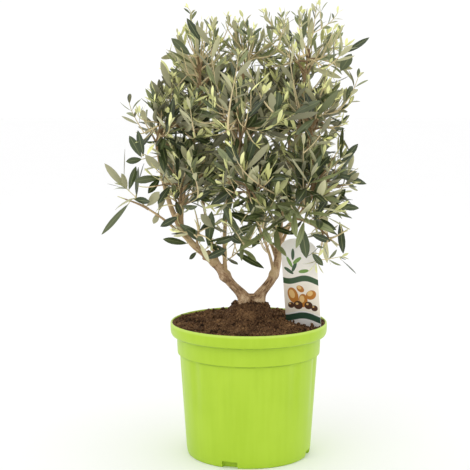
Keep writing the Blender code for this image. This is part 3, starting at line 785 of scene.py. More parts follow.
# Shoots that stand out of the crown: mass, root, tip, heading, pairs, leaf length, radius.
Sprig = namedtuple("Sprig", "mass root tip heading pairs leaf radius")
SPRIGS = (
    Sprig("left_spray", (-0.134, -0.030, 0.336), (-0.161, -0.035, 0.362), (-0.65, -0.05, 0.75), 0, 0.040, 0.00070),
    Sprig("shoulder_left", (-0.137, -0.020, 0.431), (-0.155, -0.026, 0.471), (-0.15, -0.1, 1), 4, 0.026, 0.00060),
    Sprig("front_middle", (-0.035, -0.104, 0.409), (-0.014, -0.092, 0.528), (0.1, 0, 1), 6, 0.030, 0.00120),
    Sprig("low_front", (0.071, -0.045, 0.331), (-0.022, -0.112, 0.415), (-0.25, -0.1, 1), 2, 0.030, 0.00110),
    Sprig("low_right", (0.080, -0.040, 0.349), (0.129, -0.040, 0.368), (0.9, 0, 0.35), 2, 0.026, 0.00060),
    Sprig("low_right", (0.089, -0.034, 0.370), (0.121, -0.034, 0.402), (0.5, 0, 0.8), 2, 0.026, 0.00060),
    Sprig("droop_right", (0.092, -0.046, 0.266), (0.120, -0.044, 0.272), (1, 0, 0.2), 1, 0.020, 0.00050),
    Sprig("shoulder_right", (0.112, -0.030, 0.445), (0.140, -0.034, 0.504), (0.3, 0, 1), 4, 0.024, 0.00060),
    Sprig("top_right", (0.089, -0.034, 0.475), (0.124, -0.032, 0.543), (0.5, 0, 1), 5, 0.028, 0.00090),
    Sprig("top_left", (-0.065, -0.010, 0.566), (-0.080, -0.014, 0.592), (-0.8, 0, 0.5), 3, 0.014, 0.00040),
    Sprig("top_left", (-0.043, -0.020, 0.540), (-0.046, -0.022, 0.575), (0.1, 0, 1), 4, 0.016, 0.00045),
    Sprig("top_middle", (-0.016, -0.012, 0.558), (-0.029, -0.016, 0.582), (-0.3, 0, 1), 3, 0.014, 0.00045),
    Sprig("top_middle", (0.005, -0.026, 0.545), (-0.009, -0.030, 0.580), (-0.25, 0, 1), 4, 0.016, 0.00050),
    Sprig("top_middle", (0.035, -0.010, 0.558), (0.021, -0.012, 0.586), (-0.3, 0, 1), 4, 0.014, 0.00045),
    Sprig("top_middle", (0.046, 0.006, 0.551), (0.042, 0.006, 0.588), (0, 0, 1), 4, 0.014, 0.00045),
    Sprig("top_right", (0.083, -0.006, 0.558), (0.088, -0.008, 0.598), (0.15, 0, 1), 4, 0.016, 0.00050),
    Sprig("top_right", (0.090, -0.008, 0.558), (0.115, -0.010, 0.587), (0.4, 0, 1), 4, 0.016, 0.00050),
    Sprig("top_right", (0.065, -0.018, 0.555), (0.068, -0.020, 0.586), (0.1, 0, 1), 3, 0.016, 0.00045),
    Sprig("top_left", (-0.060, -0.020, 0.542), (-0.059, -0.020, 0.573), (0.1, 0, 1), 3, 0.018, 0.00050),
    Sprig("top_left", (-0.091, -0.030, 0.534), (-0.092, -0.030, 0.560), (-0.1, 0, 1), 2, 0.013, 0.00045),
    Sprig("top_left", (-0.042, -0.060, 0.523), (-0.046, -0.050, 0.561), (-0.1, 0, 1), 4, 0.018, 0.00055),
    Sprig("top_middle", (-0.029, -0.020, 0.550), (-0.025, -0.020, 0.579), (0.1, 0, 1), 3, 0.018, 0.00050),
    Sprig("top_middle", (0.024, -0.020, 0.558), (0.018, -0.020, 0.586), (-0.1, 0, 1), 3, 0.018, 0.00050),
    Sprig("top_middle", (0.044, -0.030, 0.550), (0.047, -0.030, 0.582), (0.1, 0, 1), 3, 0.018, 0.00050),
    Sprig("top_middle", (0.001, -0.060, 0.533), (0.006, -0.050, 0.563), (0.1, 0, 1), 3, 0.018, 0.00055),
    Sprig("top_right", (0.060, -0.020, 0.555), (0.065, -0.020, 0.587), (0.1, 0, 1), 3, 0.018, 0.00050),
    Sprig("top_right", (0.094, -0.010, 0.563), (0.091, -0.010, 0.596), (-0.1, 0, 1), 3, 0.018, 0.00050),
    Sprig("top_right", (0.112, -0.020, 0.545), (0.118, -0.020, 0.566), (0.3, 0, 1), 2, 0.014, 0.00045),
    Sprig("low_front", (-0.024, -0.006, 0.257), (0.013, -0.036, 0.311), (0.5, -0.3, 0.8), 0, 0.040, 0.00085),
    Sprig("low_front", (0.004, -0.012, 0.278), (-0.010, -0.024, 0.316), (-0.3, 0, 1), 1, 0.040, 0.00065),
    Sprig("low_front", (0.024, -0.008, 0.273), (0.013, -0.030, 0.304), (-0.2, -0.2, 1), 0, 0.040, 0.00060),
    Sprig("low_front", (0.025, -0.010, 0.276), (0.035, -0.032, 0.306), (0.2, -0.2, 1), 0, 0.040, 0.00060),
    Sprig("skirt_left", (-0.024, -0.006, 0.257), (-0.030, -0.018, 0.281), (-0.1, -0.2, 1), 1, 0.040, 0.00075),
    Sprig("top_left", (-0.052, -0.066, 0.451), (-0.049, -0.044, 0.563), (0.05, 0, 1), 7, 0.034, 0.00110),
    Sprig("top_middle", (0.050, -0.064, 0.468), (0.050, -0.050, 0.547), (0, 0, 1), 5, 0.034, 0.00100),
    Sprig("front_middle", (0.025, -0.090, 0.459), (-0.005, -0.080, 0.520), (-0.35, 0, 1), 6, 0.026, 0.00090),
    Sprig("top_right", (0.071, -0.060, 0.508), (0.064, -0.054, 0.553), (-0.1, 0, 1), 5, 0.024, 0.00075),
    Sprig("shoulder_left", (-0.067, -0.080, 0.411), (-0.075, -0.074, 0.470), (-0.1, 0, 1), 5, 0.028, 0.00085),
    Sprig("low_left", (-0.057, -0.084, 0.343), (-0.074, -0.086, 0.392), (-0.3, 0, 1), 4, 0.024, 0.00080),
    Sprig("shoulder_right", (0.067, -0.080, 0.354), (0.068, -0.074, 0.421), (0.05, 0, 1), 5, 0.030, 0.00100),
    Sprig("shoulder_right", (0.076, -0.070, 0.408), (0.097, -0.068, 0.446), (0.3, 0, 1), 3, 0.028, 0.00080),
)

# Shoots that fill the crown's lower edge and its back, and bare twigs, in the same terms.
SKIRT_SHOOTS = (
    Sprig("low_front", (0.019, -0.010, 0.265), (0.009, -0.030, 0.302), (-0.4, -0.2, 0.8), 0, 0.0, 0.00075),
    Sprig("low_front", (-0.025, -0.008, 0.260), (-0.012, -0.025, 0.299), (0.4, -0.2, 0.8), 0, 0.0, 0.00080),
    Sprig("low_front", (-0.017, -0.012, 0.276), (-0.027, -0.030, 0.310), (-0.4, -0.2, 0.8), 0, 0.0, 0.00070),
    Sprig("low_front", (-0.003, -0.020, 0.283), (0.009, -0.040, 0.311), (0.4, -0.2, 0.8), 0, 0.0, 0.00060),
    Sprig("low_right", (0.023, -0.010, 0.276), (0.030, -0.030, 0.308), (0.3, -0.2, 0.8), 0, 0.0, 0.00065),
    Sprig("skirt_left", (-0.033, -0.008, 0.260), (-0.047, -0.030, 0.294), (-0.4, -0.2, 0.8), 0, 0.0, 0.00070),
    Sprig("back_low_left", (-0.062, 0.060, 0.372), (-0.080, 0.103, 0.424), (-0.2, 0.3, 0.8), 5, 0.046, 0.00100),
    Sprig("back_low", (0.004, 0.078, 0.380), (0.000, 0.110, 0.430), (0, 0.4, 0.8), 5, 0.046, 0.00100),
    Sprig("back_low_right", (0.078, 0.060, 0.378), (0.092, 0.100, 0.428), (0.2, 0.3, 0.8), 5, 0.046, 0.00100),
    Sprig("back_left", (-0.058, 0.066, 0.432), (-0.050, 0.112, 0.426), (0, 0.8, 0.1), 4, 0.044, 0.00090),
    Sprig("back_right", (0.056, 0.066, 0.436), (0.045, 0.114, 0.428), (0, 0.8, 0.1), 4, 0.044, 0.00090),
    Sprig("back_low_left", (-0.062, 0.055, 0.375), (-0.104, 0.060, 0.412), (-0.7, 0, 0.6), 4, 0.042, 0.00090),
    Sprig("back_low_right", (0.080, 0.055, 0.375), (0.108, 0.055, 0.416), (0.5, 0, 0.8), 4, 0.042, 0.00090),
    Sprig("low_front", (0.048, -0.045, 0.298), (0.021, -0.070, 0.338), (-0.5, -0.2, 0.6), 5, 0.046, 0.00100),
    Sprig("low_front", (0.027, -0.040, 0.293), (0.001, -0.070, 0.330), (-0.5, -0.2, 0.6), 4, 0.046, 0.00090),
    Sprig("low_right", (0.066, -0.045, 0.309), (0.047, -0.075, 0.353), (-0.3, -0.2, 0.8), 5, 0.048, 0.00110),
    Sprig("low_right", (0.069, -0.045, 0.317), (0.092, -0.065, 0.352), (0.5, -0.2, 0.7), 4, 0.046, 0.00100),
    Sprig("low_right", (0.073, -0.045, 0.304), (0.106, -0.060, 0.331), (0.7, -0.2, 0.3), 4, 0.044, 0.00090),
    Sprig("low_right", (0.063, -0.048, 0.297), (0.074, -0.070, 0.332), (0.2, -0.3, 0.7), 4, 0.046, 0.00090),
    Sprig("low_front", (0.016, -0.050, 0.312), (0.033, -0.080, 0.354), (0.3, -0.3, 0.8), 4, 0.048, 0.00100),
    Sprig("low_front", (-0.004, -0.030, 0.279), (-0.022, -0.060, 0.313), (-0.4, -0.3, 0.6), 3, 0.044, 0.00080),
    Sprig("shoulder_right", (0.065, -0.060, 0.340), (0.078, -0.085, 0.380), (0.3, -0.3, 0.8), 4, 0.046, 0.00100),
    Sprig("low_right", (0.053, -0.045, 0.317), (0.023, -0.075, 0.353), (-0.6, -0.2, 0.5), 5, 0.046, 0.00100),
)

# Leaves that show one by one: mass, root, tip, width, and how far the upper side is turned
# from the viewer, in degrees.
Single = namedtuple("Single", "mass root tip width turn")
SINGLES = (
    Single("left_spray", (-0.159, -0.034, 0.359), (-0.187, -0.038, 0.392), 0.0095, 172),
    Single("left_spray", (-0.159, -0.034, 0.359), (-0.182, -0.044, 0.368), 0.0067, 82),
    Single("left_spray", (-0.156, -0.034, 0.357), (-0.146, -0.030, 0.388), 0.0089, 20),
    Single("left_spray", (-0.162, -0.034, 0.361), (-0.165, -0.020, 0.410), 0.0089, 86),
    Single("left_spray", (-0.147, -0.032, 0.350), (-0.140, -0.016, 0.392), 0.0089, 84),
    Single("left_spray", (-0.156, -0.030, 0.340), (-0.195, -0.026, 0.299), 0.0095, 24),
    Single("left_spray", (-0.150, -0.030, 0.345), (-0.129, -0.046, 0.343), 0.0101, 35),
    Single("left_spray", (-0.133, -0.030, 0.336), (-0.115, -0.040, 0.356), 0.0117, 176),
    Single("left_spray", (-0.118, -0.024, 0.328), (-0.124, -0.036, 0.313), 0.0078, 168),
    Single("left_spray", (-0.118, -0.024, 0.329), (-0.110, -0.014, 0.357), 0.0101, 150),
    Single("skirt_left", (-0.092, -0.024, 0.322), (-0.115, -0.034, 0.310), 0.0095, 15),
    Single("skirt_left", (-0.081, -0.014, 0.285), (-0.112, -0.026, 0.293), 0.0095, 12),
    Single("skirt_left", (-0.069, -0.010, 0.273), (-0.078, -0.020, 0.265), 0.0067, 40),
    Single("skirt_left", (-0.092, -0.026, 0.313), (-0.058, -0.042, 0.291), 0.0128, 20),
    Single("skirt_left", (-0.054, -0.018, 0.281), (-0.048, -0.044, 0.329), 0.0128, 15),
    Single("skirt_left", (-0.058, -0.010, 0.264), (-0.031, -0.032, 0.280), 0.0101, 10),
    Single("low_front", (-0.046, -0.020, 0.285), (-0.020, -0.034, 0.296), 0.0095, 18),
    Single("low_front", (-0.025, -0.018, 0.290), (0.001, -0.032, 0.312), 0.0106, 10),
    Single("low_front", (-0.019, -0.010, 0.273), (0.020, -0.026, 0.255), 0.0101, 18),
    Single("low_front", (-0.035, -0.024, 0.312), (-0.021, -0.036, 0.352), 0.0089, 25),
    Single("low_front", (-0.047, -0.030, 0.336), (-0.016, -0.054, 0.367), 0.0134, 12),
    Single("low_front", (0.014, -0.042, 0.317), (-0.026, -0.052, 0.330), 0.0117, 12),
    Single("low_front", (0.015, -0.042, 0.317), (0.053, -0.058, 0.325), 0.0112, 135),
    Single("low_front", (0.027, -0.036, 0.310), (0.059, -0.046, 0.302), 0.0078, 14),
    Single("droop_right", (0.067, -0.052, 0.313), (0.074, -0.060, 0.272), 0.0134, 10),
    Single("droop_right", (0.080, -0.046, 0.301), (0.104, -0.056, 0.293), 0.0089, 24),
    Single("droop_right", (0.081, -0.046, 0.324), (0.112, -0.056, 0.309), 0.0118, 28),
    Single("droop_right", (0.117, -0.044, 0.317), (0.121, -0.048, 0.276), 0.0101, 20),
    Single("droop_right", (0.081, -0.046, 0.277), (0.095, -0.052, 0.261), 0.0083, 20),
    Single("droop_right", (0.118, -0.044, 0.269), (0.140, -0.048, 0.251), 0.0067, 75),
    Single("low_right", (0.113, -0.040, 0.338), (0.141, -0.048, 0.335), 0.0089, 14),
    Single("low_right", (0.113, -0.040, 0.342), (0.123, -0.046, 0.360), 0.0083, 25),
    Single("low_right", (0.115, -0.036, 0.378), (0.151, -0.044, 0.367), 0.0106, 12),
    Single("low_right", (0.126, -0.038, 0.368), (0.142, -0.044, 0.380), 0.0083, 150),
    Single("low_right", (0.119, -0.034, 0.393), (0.140, -0.040, 0.417), 0.0089, 18),
    Single("low_right", (0.118, -0.034, 0.395), (0.119, -0.026, 0.439), 0.0083, 60),
    Single("low_front", (-0.005, -0.078, 0.386), (0.025, -0.092, 0.419), 0.0086, 160),
    Single("low_front", (-0.010, -0.080, 0.391), (-0.029, -0.094, 0.417), 0.0117, 16),
    Single("low_front", (-0.003, -0.076, 0.395), (0.006, -0.086, 0.428), 0.0117, 18),
    Single("top_right", (0.125, -0.010, 0.534), (0.154, -0.020, 0.554), 0.0095, 14),
    Single("top_right", (0.118, -0.014, 0.510), (0.132, -0.022, 0.532), 0.0134, 14),
    Single("top_left", (-0.075, -0.026, 0.530), (-0.099, -0.038, 0.551), 0.0106, 14),
    Single("top_left", (-0.100, -0.028, 0.488), (-0.114, -0.040, 0.522), 0.0090, 160),
    Single("top_left", (-0.062, -0.026, 0.548), (-0.080, -0.036, 0.576), 0.0106, 30),
    Single("front_middle", (0.043, -0.070, 0.448), (0.086, -0.084, 0.460), 0.0092, 128),
    Single("front_middle", (0.055, -0.066, 0.456), (0.088, -0.076, 0.473), 0.0106, 14),
    Single("front_middle", (0.030, -0.074, 0.456), (0.026, -0.080, 0.483), 0.0101, 172),
    Single("front_middle", (0.033, -0.074, 0.456), (0.037, -0.080, 0.483), 0.0106, 16),
    Single("shoulder_left", (-0.140, -0.022, 0.399), (-0.155, -0.030, 0.427), 0.0106, 14),
    Single("shoulder_left", (-0.137, -0.024, 0.401), (-0.144, -0.034, 0.434), 0.0101, 20),
    Single("low_left", (-0.139, -0.024, 0.397), (-0.159, -0.032, 0.394), 0.0089, 25),
    Single("shoulder_left", (-0.135, -0.026, 0.403), (-0.116, -0.046, 0.384), 0.0123, 168),
    Single("low_left", (-0.114, -0.028, 0.374), (-0.148, -0.040, 0.370), 0.0106, 16),
    Single("low_left", (-0.116, -0.026, 0.372), (-0.130, -0.040, 0.354), 0.0101, 20),
    Single("low_left", (-0.103, -0.026, 0.362), (-0.118, -0.042, 0.341), 0.0106, 12),
    Single("low_front", (-0.051, -0.034, 0.337), (-0.022, -0.054, 0.358), 0.0123, 14),
    Single("low_front", (0.009, -0.044, 0.318), (0.001, -0.064, 0.355), 0.0123, 15),
    Single("low_front", (0.020, -0.048, 0.326), (0.015, -0.066, 0.359), 0.0112, 20),
    Single("low_front", (0.040, -0.036, 0.307), (0.035, -0.054, 0.339), 0.0101, 30),
    Single("low_front", (-0.008, -0.020, 0.286), (-0.025, -0.034, 0.297), 0.0095, 16),
    Single("low_front", (0.004, -0.014, 0.279), (0.017, -0.030, 0.301), 0.0089, 24),
    Single("low_right", (0.047, -0.046, 0.335), (0.049, -0.066, 0.366), 0.0117, 20),
    Single("skirt_left", (-0.060, -0.026, 0.291), (-0.080, -0.046, 0.308), 0.0112, 18),
    Single("skirt_left", (-0.046, -0.030, 0.308), (-0.064, -0.052, 0.328), 0.0112, 160),
)

Axis = namedtuple("Axis", "route order leaf spacing")
Leaf = namedtuple("Leaf", "root way up length width bend cup twist tint young")

# Leaf outline: place along the leaf, half width as a share of the width.
OUTLINE = ((0.0, 0.055), (0.05, 0.06), (0.15, 0.22), (0.30, 0.385), (0.46, 0.475),
           (0.62, 0.5), (0.78, 0.41), (0.91, 0.22), (1.0, 0.02))
RIB_SHARE = 0.10
LEAF_THICKNESS = 0.045          # of the width

TOPS, UNDERS, YOUNGS = 6, 3, 3
TOP_SHARES = ((0.21, 0.28, 0.10), (0.38, 0.49, 0.25), (0.66, 0.76, 0.54), (1.06, 1.05, 0.94), (1.80, 1.62, 1.58),
              (3.0, 2.70, 2.85))
LOW_LEAVES = 0.43               # the height below which the single leaves are darker
LOW_TINTS = 0.42
HIGH_TINTS = 0.72
MIDDLE_PAINTED_SHADE = 0.36              # painted shade: how much darker the leaves are at a mass's middle


def spread_directions(count, lowest, turn):
    """Directions spread evenly over a sphere, down to a lowest height, along a golden spiral."""
    golden = math.pi * (3.0 - math.sqrt(5.0))
    for number in range(count):
        height = 1.0 - (1.0 - lowest) * (number + 0.5) / count
        ring = math.sqrt(1.0 - height * height)
        round_turn = turn + number * golden
        yield Vector((ring * math.cos(round_turn), ring * math.sin(round_turn), height))


def in_space(point, mass, slack, cell):
    """Whether a point lies in a mass's ball, and not far into a neighbour's part of it."""
    own = (point - Vector(mass.centre)).length_squared
    if own > (mass.radius + slack) ** 2:
        return False
    own -= mass.radius ** 2
    for other in MASSES:
        if other is mass:
            continue
        across = (Vector(other.centre) - Vector(mass.centre)).length
        power = (point - Vector(other.centre)).length_squared - other.radius ** 2
        if (power - own) / (2 * across) < cell:
            return False
    return True


def in_outline(point):
    """Whether a point lies between the crown's left and right edges and below its top."""
    heights, lefts, rights = zip(*CROWN_EDGES)
    return np.interp(point.z, heights, lefts) < point.x < np.interp(point.z, heights, rights) \
        and point.z < np.interp(point.x, *zip(*CROWN_TOPS))


def in_reach(point):
    """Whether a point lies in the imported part's box, or hardly out of it."""
    low, high = CAD_BOX
    return all(low[axis] - BOX_SLACK < point[axis] < high[axis] + BOX_SLACK for axis in range(3))


def label_place():
    lean = Euler((math.pi / 2 + LABEL_LEAN, 0.0, LABEL_TURN)).to_matrix().to_4x4()
    return Matrix.Translation(LABEL_FOOT) @ lean


class Obstacles:
    """What leaves and shoots keep clear of: limbs, the label, the pot and the soil."""

    def __init__(self, routes):
        samples = []
        for route in routes.values():
            count = max(2, math.ceil(route_length(route) / 0.003))
            for step in range(count + 1):
                point, _, radius = place_along(route, step / count)
                samples.append((point, radius))
        self.tree = KDTree(len(samples))
        for number, (point, _) in enumerate(samples):
            self.tree.insert(point, number)
        self.tree.balance()
        self.radii = [radius for _, radius in samples]
        self.to_label = label_place().inverted()

    def free(self, point, room):
        near = self.to_label @ point
        if abs(near.x) < LABEL_WIDTH / 2 + room and -0.01 < near.y < LABEL_SHOULDER + LABEL_ARCH + room \
                and abs(near.z) < room + 0.001:
            return False
        if math.hypot(point.x, point.y) < POT_BOX[1].x + 0.004 and point.z < soil_height(point.x, point.y) + 0.012:
            return False
        for _, number, away in self.tree.find_range(point, room + 0.014):
            if away < self.radii[number] + room:
                return False
        return True

    def nearest_wood(self, point, axes):
        """The nearest point on a limb or on an axis of the same mass."""
        found, _, away = self.tree.find(point)
        for axis in axes:
            for place in axis.route.points:
                if (place - point).length < away:
                    found, away = place, (place - point).length
        return found.copy()


def grow_axes(mass, routes, obstacles):
    """The stem from the limb's tip, the shoots that fan out from it, their side twigs, the
    sprigs and the stalks of the single leaves."""
    habit = HABITS[mass.habit]
    tip, leaving, radius = place_along(routes[mass.limb], 1.0)
    centre = Vector(mass.centre)
    outward_way = (centre - tip).normalized()
    stem = grown_route(tip - leaving * 0.003, leaving, centre + outward_way * mass.radius * STEM_REACH,
                       outward_way, (radius, TIP_RADIUS), 12, LEAD)
    rng = random.Random(mass.seed)
    axes = [Axis(stem, 0, habit.leaf, PAIR_SPACING)]
    for direction in spread_directions(habit.shoots, habit.lowest, rng.uniform(0, math.tau)):
        aim = (direction + outward_way * OUTWARD_PULL).normalized()
        root, stem_way, _ = place_along(stem, rng.uniform(0.04, 0.70))
        target = centre + aim * mass.radius * rng.uniform(*habit.reach)
        way = ((target - root).normalized() + stem_way * STEM_PULL).normalized()
        heading = (aim + UP * habit.rise * (1.0 + LOW_RISE * min(aim.z, 0.0))).normalized()
        for trim in TRIMS:
            end = root.lerp(target, trim)
            route = grown_route(root, way, end, heading, (SHOOT_RADIUS, TIP_RADIUS), 10)
            if all(in_space(point, mass, 0.0, SHOOT_CELL) for point in route.points[2:]) \
                    and all(obstacles.free(point, 0.0016) for point in route.points[3:]) \
                    and in_outline(end):
                axes.append(Axis(route, 1, habit.leaf, PAIR_SPACING))
                break
    for shoot in list(axes[1:]):
        axes.extend(side_twigs(shoot, mass, obstacles, rng))
    for sprig in SPRIGS + SKIRT_SHOOTS:
        if sprig.mass == mass.name:
            axes.append(sprig_axis(sprig, axes, obstacles))
    for single in SINGLES:
        if single.mass == mass.name:
            foot = Vector(single.root)
            way = (Vector(single.tip) - foot).normalized()
            wood = obstacles.nearest_wood(foot, axes)
            if (foot - wood).length > 0.0012:
                axes.append(Axis(grown_route(wood, (foot - wood).normalized(), foot + way * 0.002, way,
                                             (TIP_RADIUS * 1.3, TIP_RADIUS), 6), 3, 0.0, 1.0))
    return axes


def sprig_axis(sprig, axes, obstacles):
    """A shoot whose root is drawn in to the nearest wood."""
    root = obstacles.nearest_wood(Vector(sprig.root), axes)
    through, tip = Vector(sprig.root), Vector(sprig.tip)
    way = ((through - root).normalized() * 0.35 + (tip - root).normalized() * 0.65).normalized()
    route = grown_route(root, way, tip, Vector(sprig.heading).normalized(), (sprig.radius * SPRIG_GIRTH, TIP_RADIUS * 0.8), 14)
    return Axis(route, 4, sprig.leaf, route_length(route) * 0.8 / max(sprig.pairs, 1))


def side_twigs(shoot, mass, obstacles, rng):
    length = route_length(shoot.route)
    count = round(length / HABITS[mass.habit].twigs)
    turn = rng.uniform(0, math.tau)
    for number in range(count):
        along = 0.18 + 0.56 * (number + rng.uniform(0.2, 0.8)) / max(count, 1)
        root, way, _ = place_along(shoot.route, along)
        turn += rng.uniform(1.9, 2.6)
        square = Matrix.Rotation(turn, 3, way) @ way.orthogonal().normalized()
        leaving = (way + square * 0.9).normalized()
        reach = rng.uniform(0.024, 0.046)
        rise = max(HABITS[mass.habit].rise, 0.0) * 0.4
        end = root + (leaving + way * 0.4 + UP * rise).normalized() * reach
        heading = (end - root).normalized() + UP * rise
        route = grown_route(root, leaving, end, heading.normalized(), (TWIG_RADIUS, TIP_RADIUS * 0.8), 6)
        if all(in_space(point, mass, 0.0, SHOOT_CELL) for point in route.points[2:]) \
                and all(obstacles.free(point, 0.0012) for point in route.points[2:]) and in_outline(end):
            yield Axis(route, 2, shoot.leaf * 0.88, PAIR_SPACING)


def leaf_tries(axis, habit, rng):
    """Opposite pairs, each pair a quarter turn from the last, smaller towards the tip."""
    length = route_length(axis.route)
    bare = 0.45 if axis.order == 0 else 0.14
    pairs = max(2, round(length * (1 - bare) / axis.spacing))
    quarter = rng.uniform(0, math.tau)
    for number in range(pairs):
        back = (number + 0.25) / pairs * (1.0 - bare)
        point, way, radius = place_along(axis.route, 1.0 - back)
        square = way.orthogonal().normalized()
        turn = quarter + number * math.pi / 2
        tips = max(habit.tips, SPRIG_TIPS) if axis.order == 4 else habit.tips
        grown = min(1.0, tips + 0.08 + back * length / YOUNG_SPAN)
        spread = rng.uniform(*LEAF_ANGLES) * (0.55 + 0.45 * grown)
        for side in (0.0, math.pi):
            out = Matrix.Rotation(turn + side + rng.uniform(-0.25, 0.25), 3, way) @ square
            direction = way * math.cos(spread) + out * math.sin(spread)
            direction.z += rng.uniform(*habit.nod) * grown
            yield point + out * radius * 0.6, direction.normalized(), way, grown
    point, way, _ = place_along(axis.route, 1.0)
    for side in (0.25, -0.25):
        yield point, (way + way.orthogonal() * side).normalized(), way, habit.tips


def sight(point):
    """Where a point shows from the viewing side: across and up, per metre of distance."""
    away = point.y - VIEWER.y
    return (point.x - VIEWER.x) / away, (point.z - VIEWER.z) / away, away


class InView:
    """Keeps leaves from standing in front of the sprigs and the single leaves, and in the gaps."""

    def __init__(self):
        self.marks = []
        self.gaps = [(*sight(Vector((across, GAPS_DEPTH, height))), half) for across, height, half in GAPS]

    def show(self, points):
        self.marks.extend(sight(point) for point in points)

    def hides(self, points):
        for across, up, away in map(sight, points):
            for mark in self.marks:
                if away < mark[2] and abs(across - mark[0]) < VIEW_ROOM and abs(up - mark[1]) < VIEW_ROOM:
                    return True
            for gap_across, gap_up, gap_away, half in self.gaps:
                if math.hypot(across - gap_across, up - gap_up) < half / gap_away:
                    return True
        return False


class Room:
    """Where leaves already are, so that no two meet."""

    def __init__(self, pitch):
        self.pitch = pitch
        self.cells = {}

    def key(self, point):
        return tuple(int(math.floor(value / self.pitch)) for value in point)

    def crowded(self, points, spacing):
        for point in points:
            x, y, z = self.key(point)
            for near_x in (x - 1, x, x + 1):
                for near_y in (y - 1, y, y + 1):
                    for near_z in (z - 1, z, z + 1):
                        for other in self.cells.get((near_x, near_y, near_z), ()):
                            if (other - point).length < spacing:
                                return True
        return False

    def take(self, points):
        for point in points:
            self.cells.setdefault(self.key(point), []).append(point)


def single_leaves(mass, room, rng):
    """The leaves of a mass that are set one by one."""
    for single in SINGLES:
        if single.mass != mass.name:
            continue
        root, tip = Vector(single.root), Vector(single.tip)
        way = (tip - root).normalized()
        to_viewer = Vector((0.0, -1.0, 0.25))
        up = (to_viewer - way * to_viewer.dot(way)).normalized()
        up = Matrix.Rotation(math.radians(single.turn) * rng.choice((-1, 1)), 3, way) @ up
        length = (tip - root).length
        room.take([root.lerp(tip, share) for share in SPINE_SHARES])
        yield Leaf(root, way, up, length, single.width, 0.12, rng.uniform(-0.2, 0.1), rng.uniform(-0.35, 0.35),
                   int(1 + rng.randrange(TOPS) * (LOW_TINTS if root.z < LOW_LEAVES else HIGH_TINTS)), False)


def place_leaves(mass, axes, obstacles, room, in_view):
    """The leaves that keep to the mass's reach and clear of everything, and the axes needed."""
    habit = HABITS[mass.habit]
    centre = Vector(mass.centre)
    rng = random.Random(mass.seed + 500)
    leaves = list(single_leaves(mass, room, rng))
    bearing = []
    for axis in sorted(axes, key=lambda item: -item.order):
        if axis.order in (0, 3, 4) or not axis.leaf:
            bearing.append(axis)
        if axis.order == 3 or not axis.leaf:
            continue
        before = len(leaves)
        shade = rng.random()
        for root, way, shoot_way, grown in leaf_tries(axis, habit, rng):
            full = axis.leaf * grown * rng.uniform(0.84, 1.16)
            bend = rng.uniform(-0.25, 0.75)
            facing = (shoot_way + UP * rng.uniform(0.0, 0.9)).normalized()
            side = way.cross(facing).normalized()
            up = Matrix.Rotation(rng.uniform(-0.6, 0.6), 3, way) @ side.cross(way).normalized()
            spacing = LEAF_SPACING * (0.45 + 0.55 * grown)
            for trim in TRIMS:
                length = full * trim
                droop = [root + way * length * share - up * (bend * length * share * share / 2)
                         for share in SPINE_SHARES]
                if axis.order < 4 and not (in_space(droop[-1], mass, REACH_SLACK, CELL_SLACK)
                                           and in_outline(droop[-1])):
                    continue
                if not all(obstacles.free(point, 0.0034) and in_reach(point) for point in droop):
                    continue
                if room.crowded(droop, spacing) or (axis.order < 4 and in_view.hides(droop)):
                    continue
                room.take(droop)
                width = habit.breadth * (0.18 + 0.82 * length / habit.leaf) * rng.uniform(0.86, 1.14)
                # Leaves near a mass's middle get darker tints: painted shade for the inside of the crown.
                outer = min((root - centre).length / (0.85 * mass.radius), 1.0)
                paler = shade * 0.50 + rng.random() * 1.16 - 0.12 + habit.pale + (1.0 - grown) * 0.35 - MIDDLE_PAINTED_SHADE * (1 - outer)
                tint = min(max(int(paler * TOPS), 0), TOPS - 1)
                leaves.append(Leaf(root, way, up, length, width, bend, rng.uniform(-0.30, 0.16),
                                   rng.uniform(-0.5, 0.5), tint, grown < habit.young))
                break
        if 0 < axis.order < 4 and (len(leaves) > before or springs_from(axis, bearing)):
            bearing.append(axis)
    return leaves, bearing


def springs_from(axis, others):
    """Whether any of the others springs from an axis."""
    return any((point - other.route.points[0]).length < SPRING_ROOM
               for other in others for point in axis.route.points)


def model_leaf():
    """One leaf a unit long and a unit wide: a grid whose lower side is closed along the margins.
    Returns its vertices, its faces and their kinds: 0 above, 1 on the midrib, 2 below."""
    rows = len(OUTLINE) - 1
    leaf = start("leaf_model", "grid", x_subdivisions=3, y_subdivisions=rows, size=1.0)
    edit()
    bpy.ops.mesh.select_all(action="SELECT")
    shape = bmesh.from_edit_mesh(leaf.data)
    for vertex in shape.verts:
        column = round((vertex.co.x + 0.5) * 3)
        along, half = OUTLINE[round((vertex.co.y + 0.5) * rows)]
        across = (-half, -half * RIB_SHARE, half * RIB_SHARE, half)[column]
        vertex.co = (across, along, 0.0)
    bmesh.update_edit_mesh(leaf.data)
    bpy.ops.mesh.extrude_region()
    shape = bmesh.from_edit_mesh(leaf.data)
    for vertex in shape.verts:
        if vertex.select and abs(vertex.co.x) < 0.4 * dict(OUTLINE)[min(dict(OUTLINE), key=lambda a: abs(a - vertex.co.y))]:
            vertex.co.z -= LEAF_THICKNESS
    bmesh.update_edit_mesh(leaf.data)
    bpy.ops.mesh.select_all(action="SELECT")
    bpy.ops.mesh.remove_doubles(threshold=0.0002)
    bpy.ops.mesh.dissolve_degenerate(threshold=0.0001)
    bpy.ops.mesh.normals_make_consistent(inside=False)
    leave_edit()
    co = coordinates(leaf)
    faces, kinds = [], []
    for face in leaf.data.polygons:
        faces.append(list(face.vertices))
        middle = abs(face.center.x) < 0.001 and face.normal.z > 0
        kinds.append(2 if face.normal.z < 0 else 1 if middle else 0)
    bpy.data.objects.remove(leaf, do_unlink=True)
    return co, faces, kinds


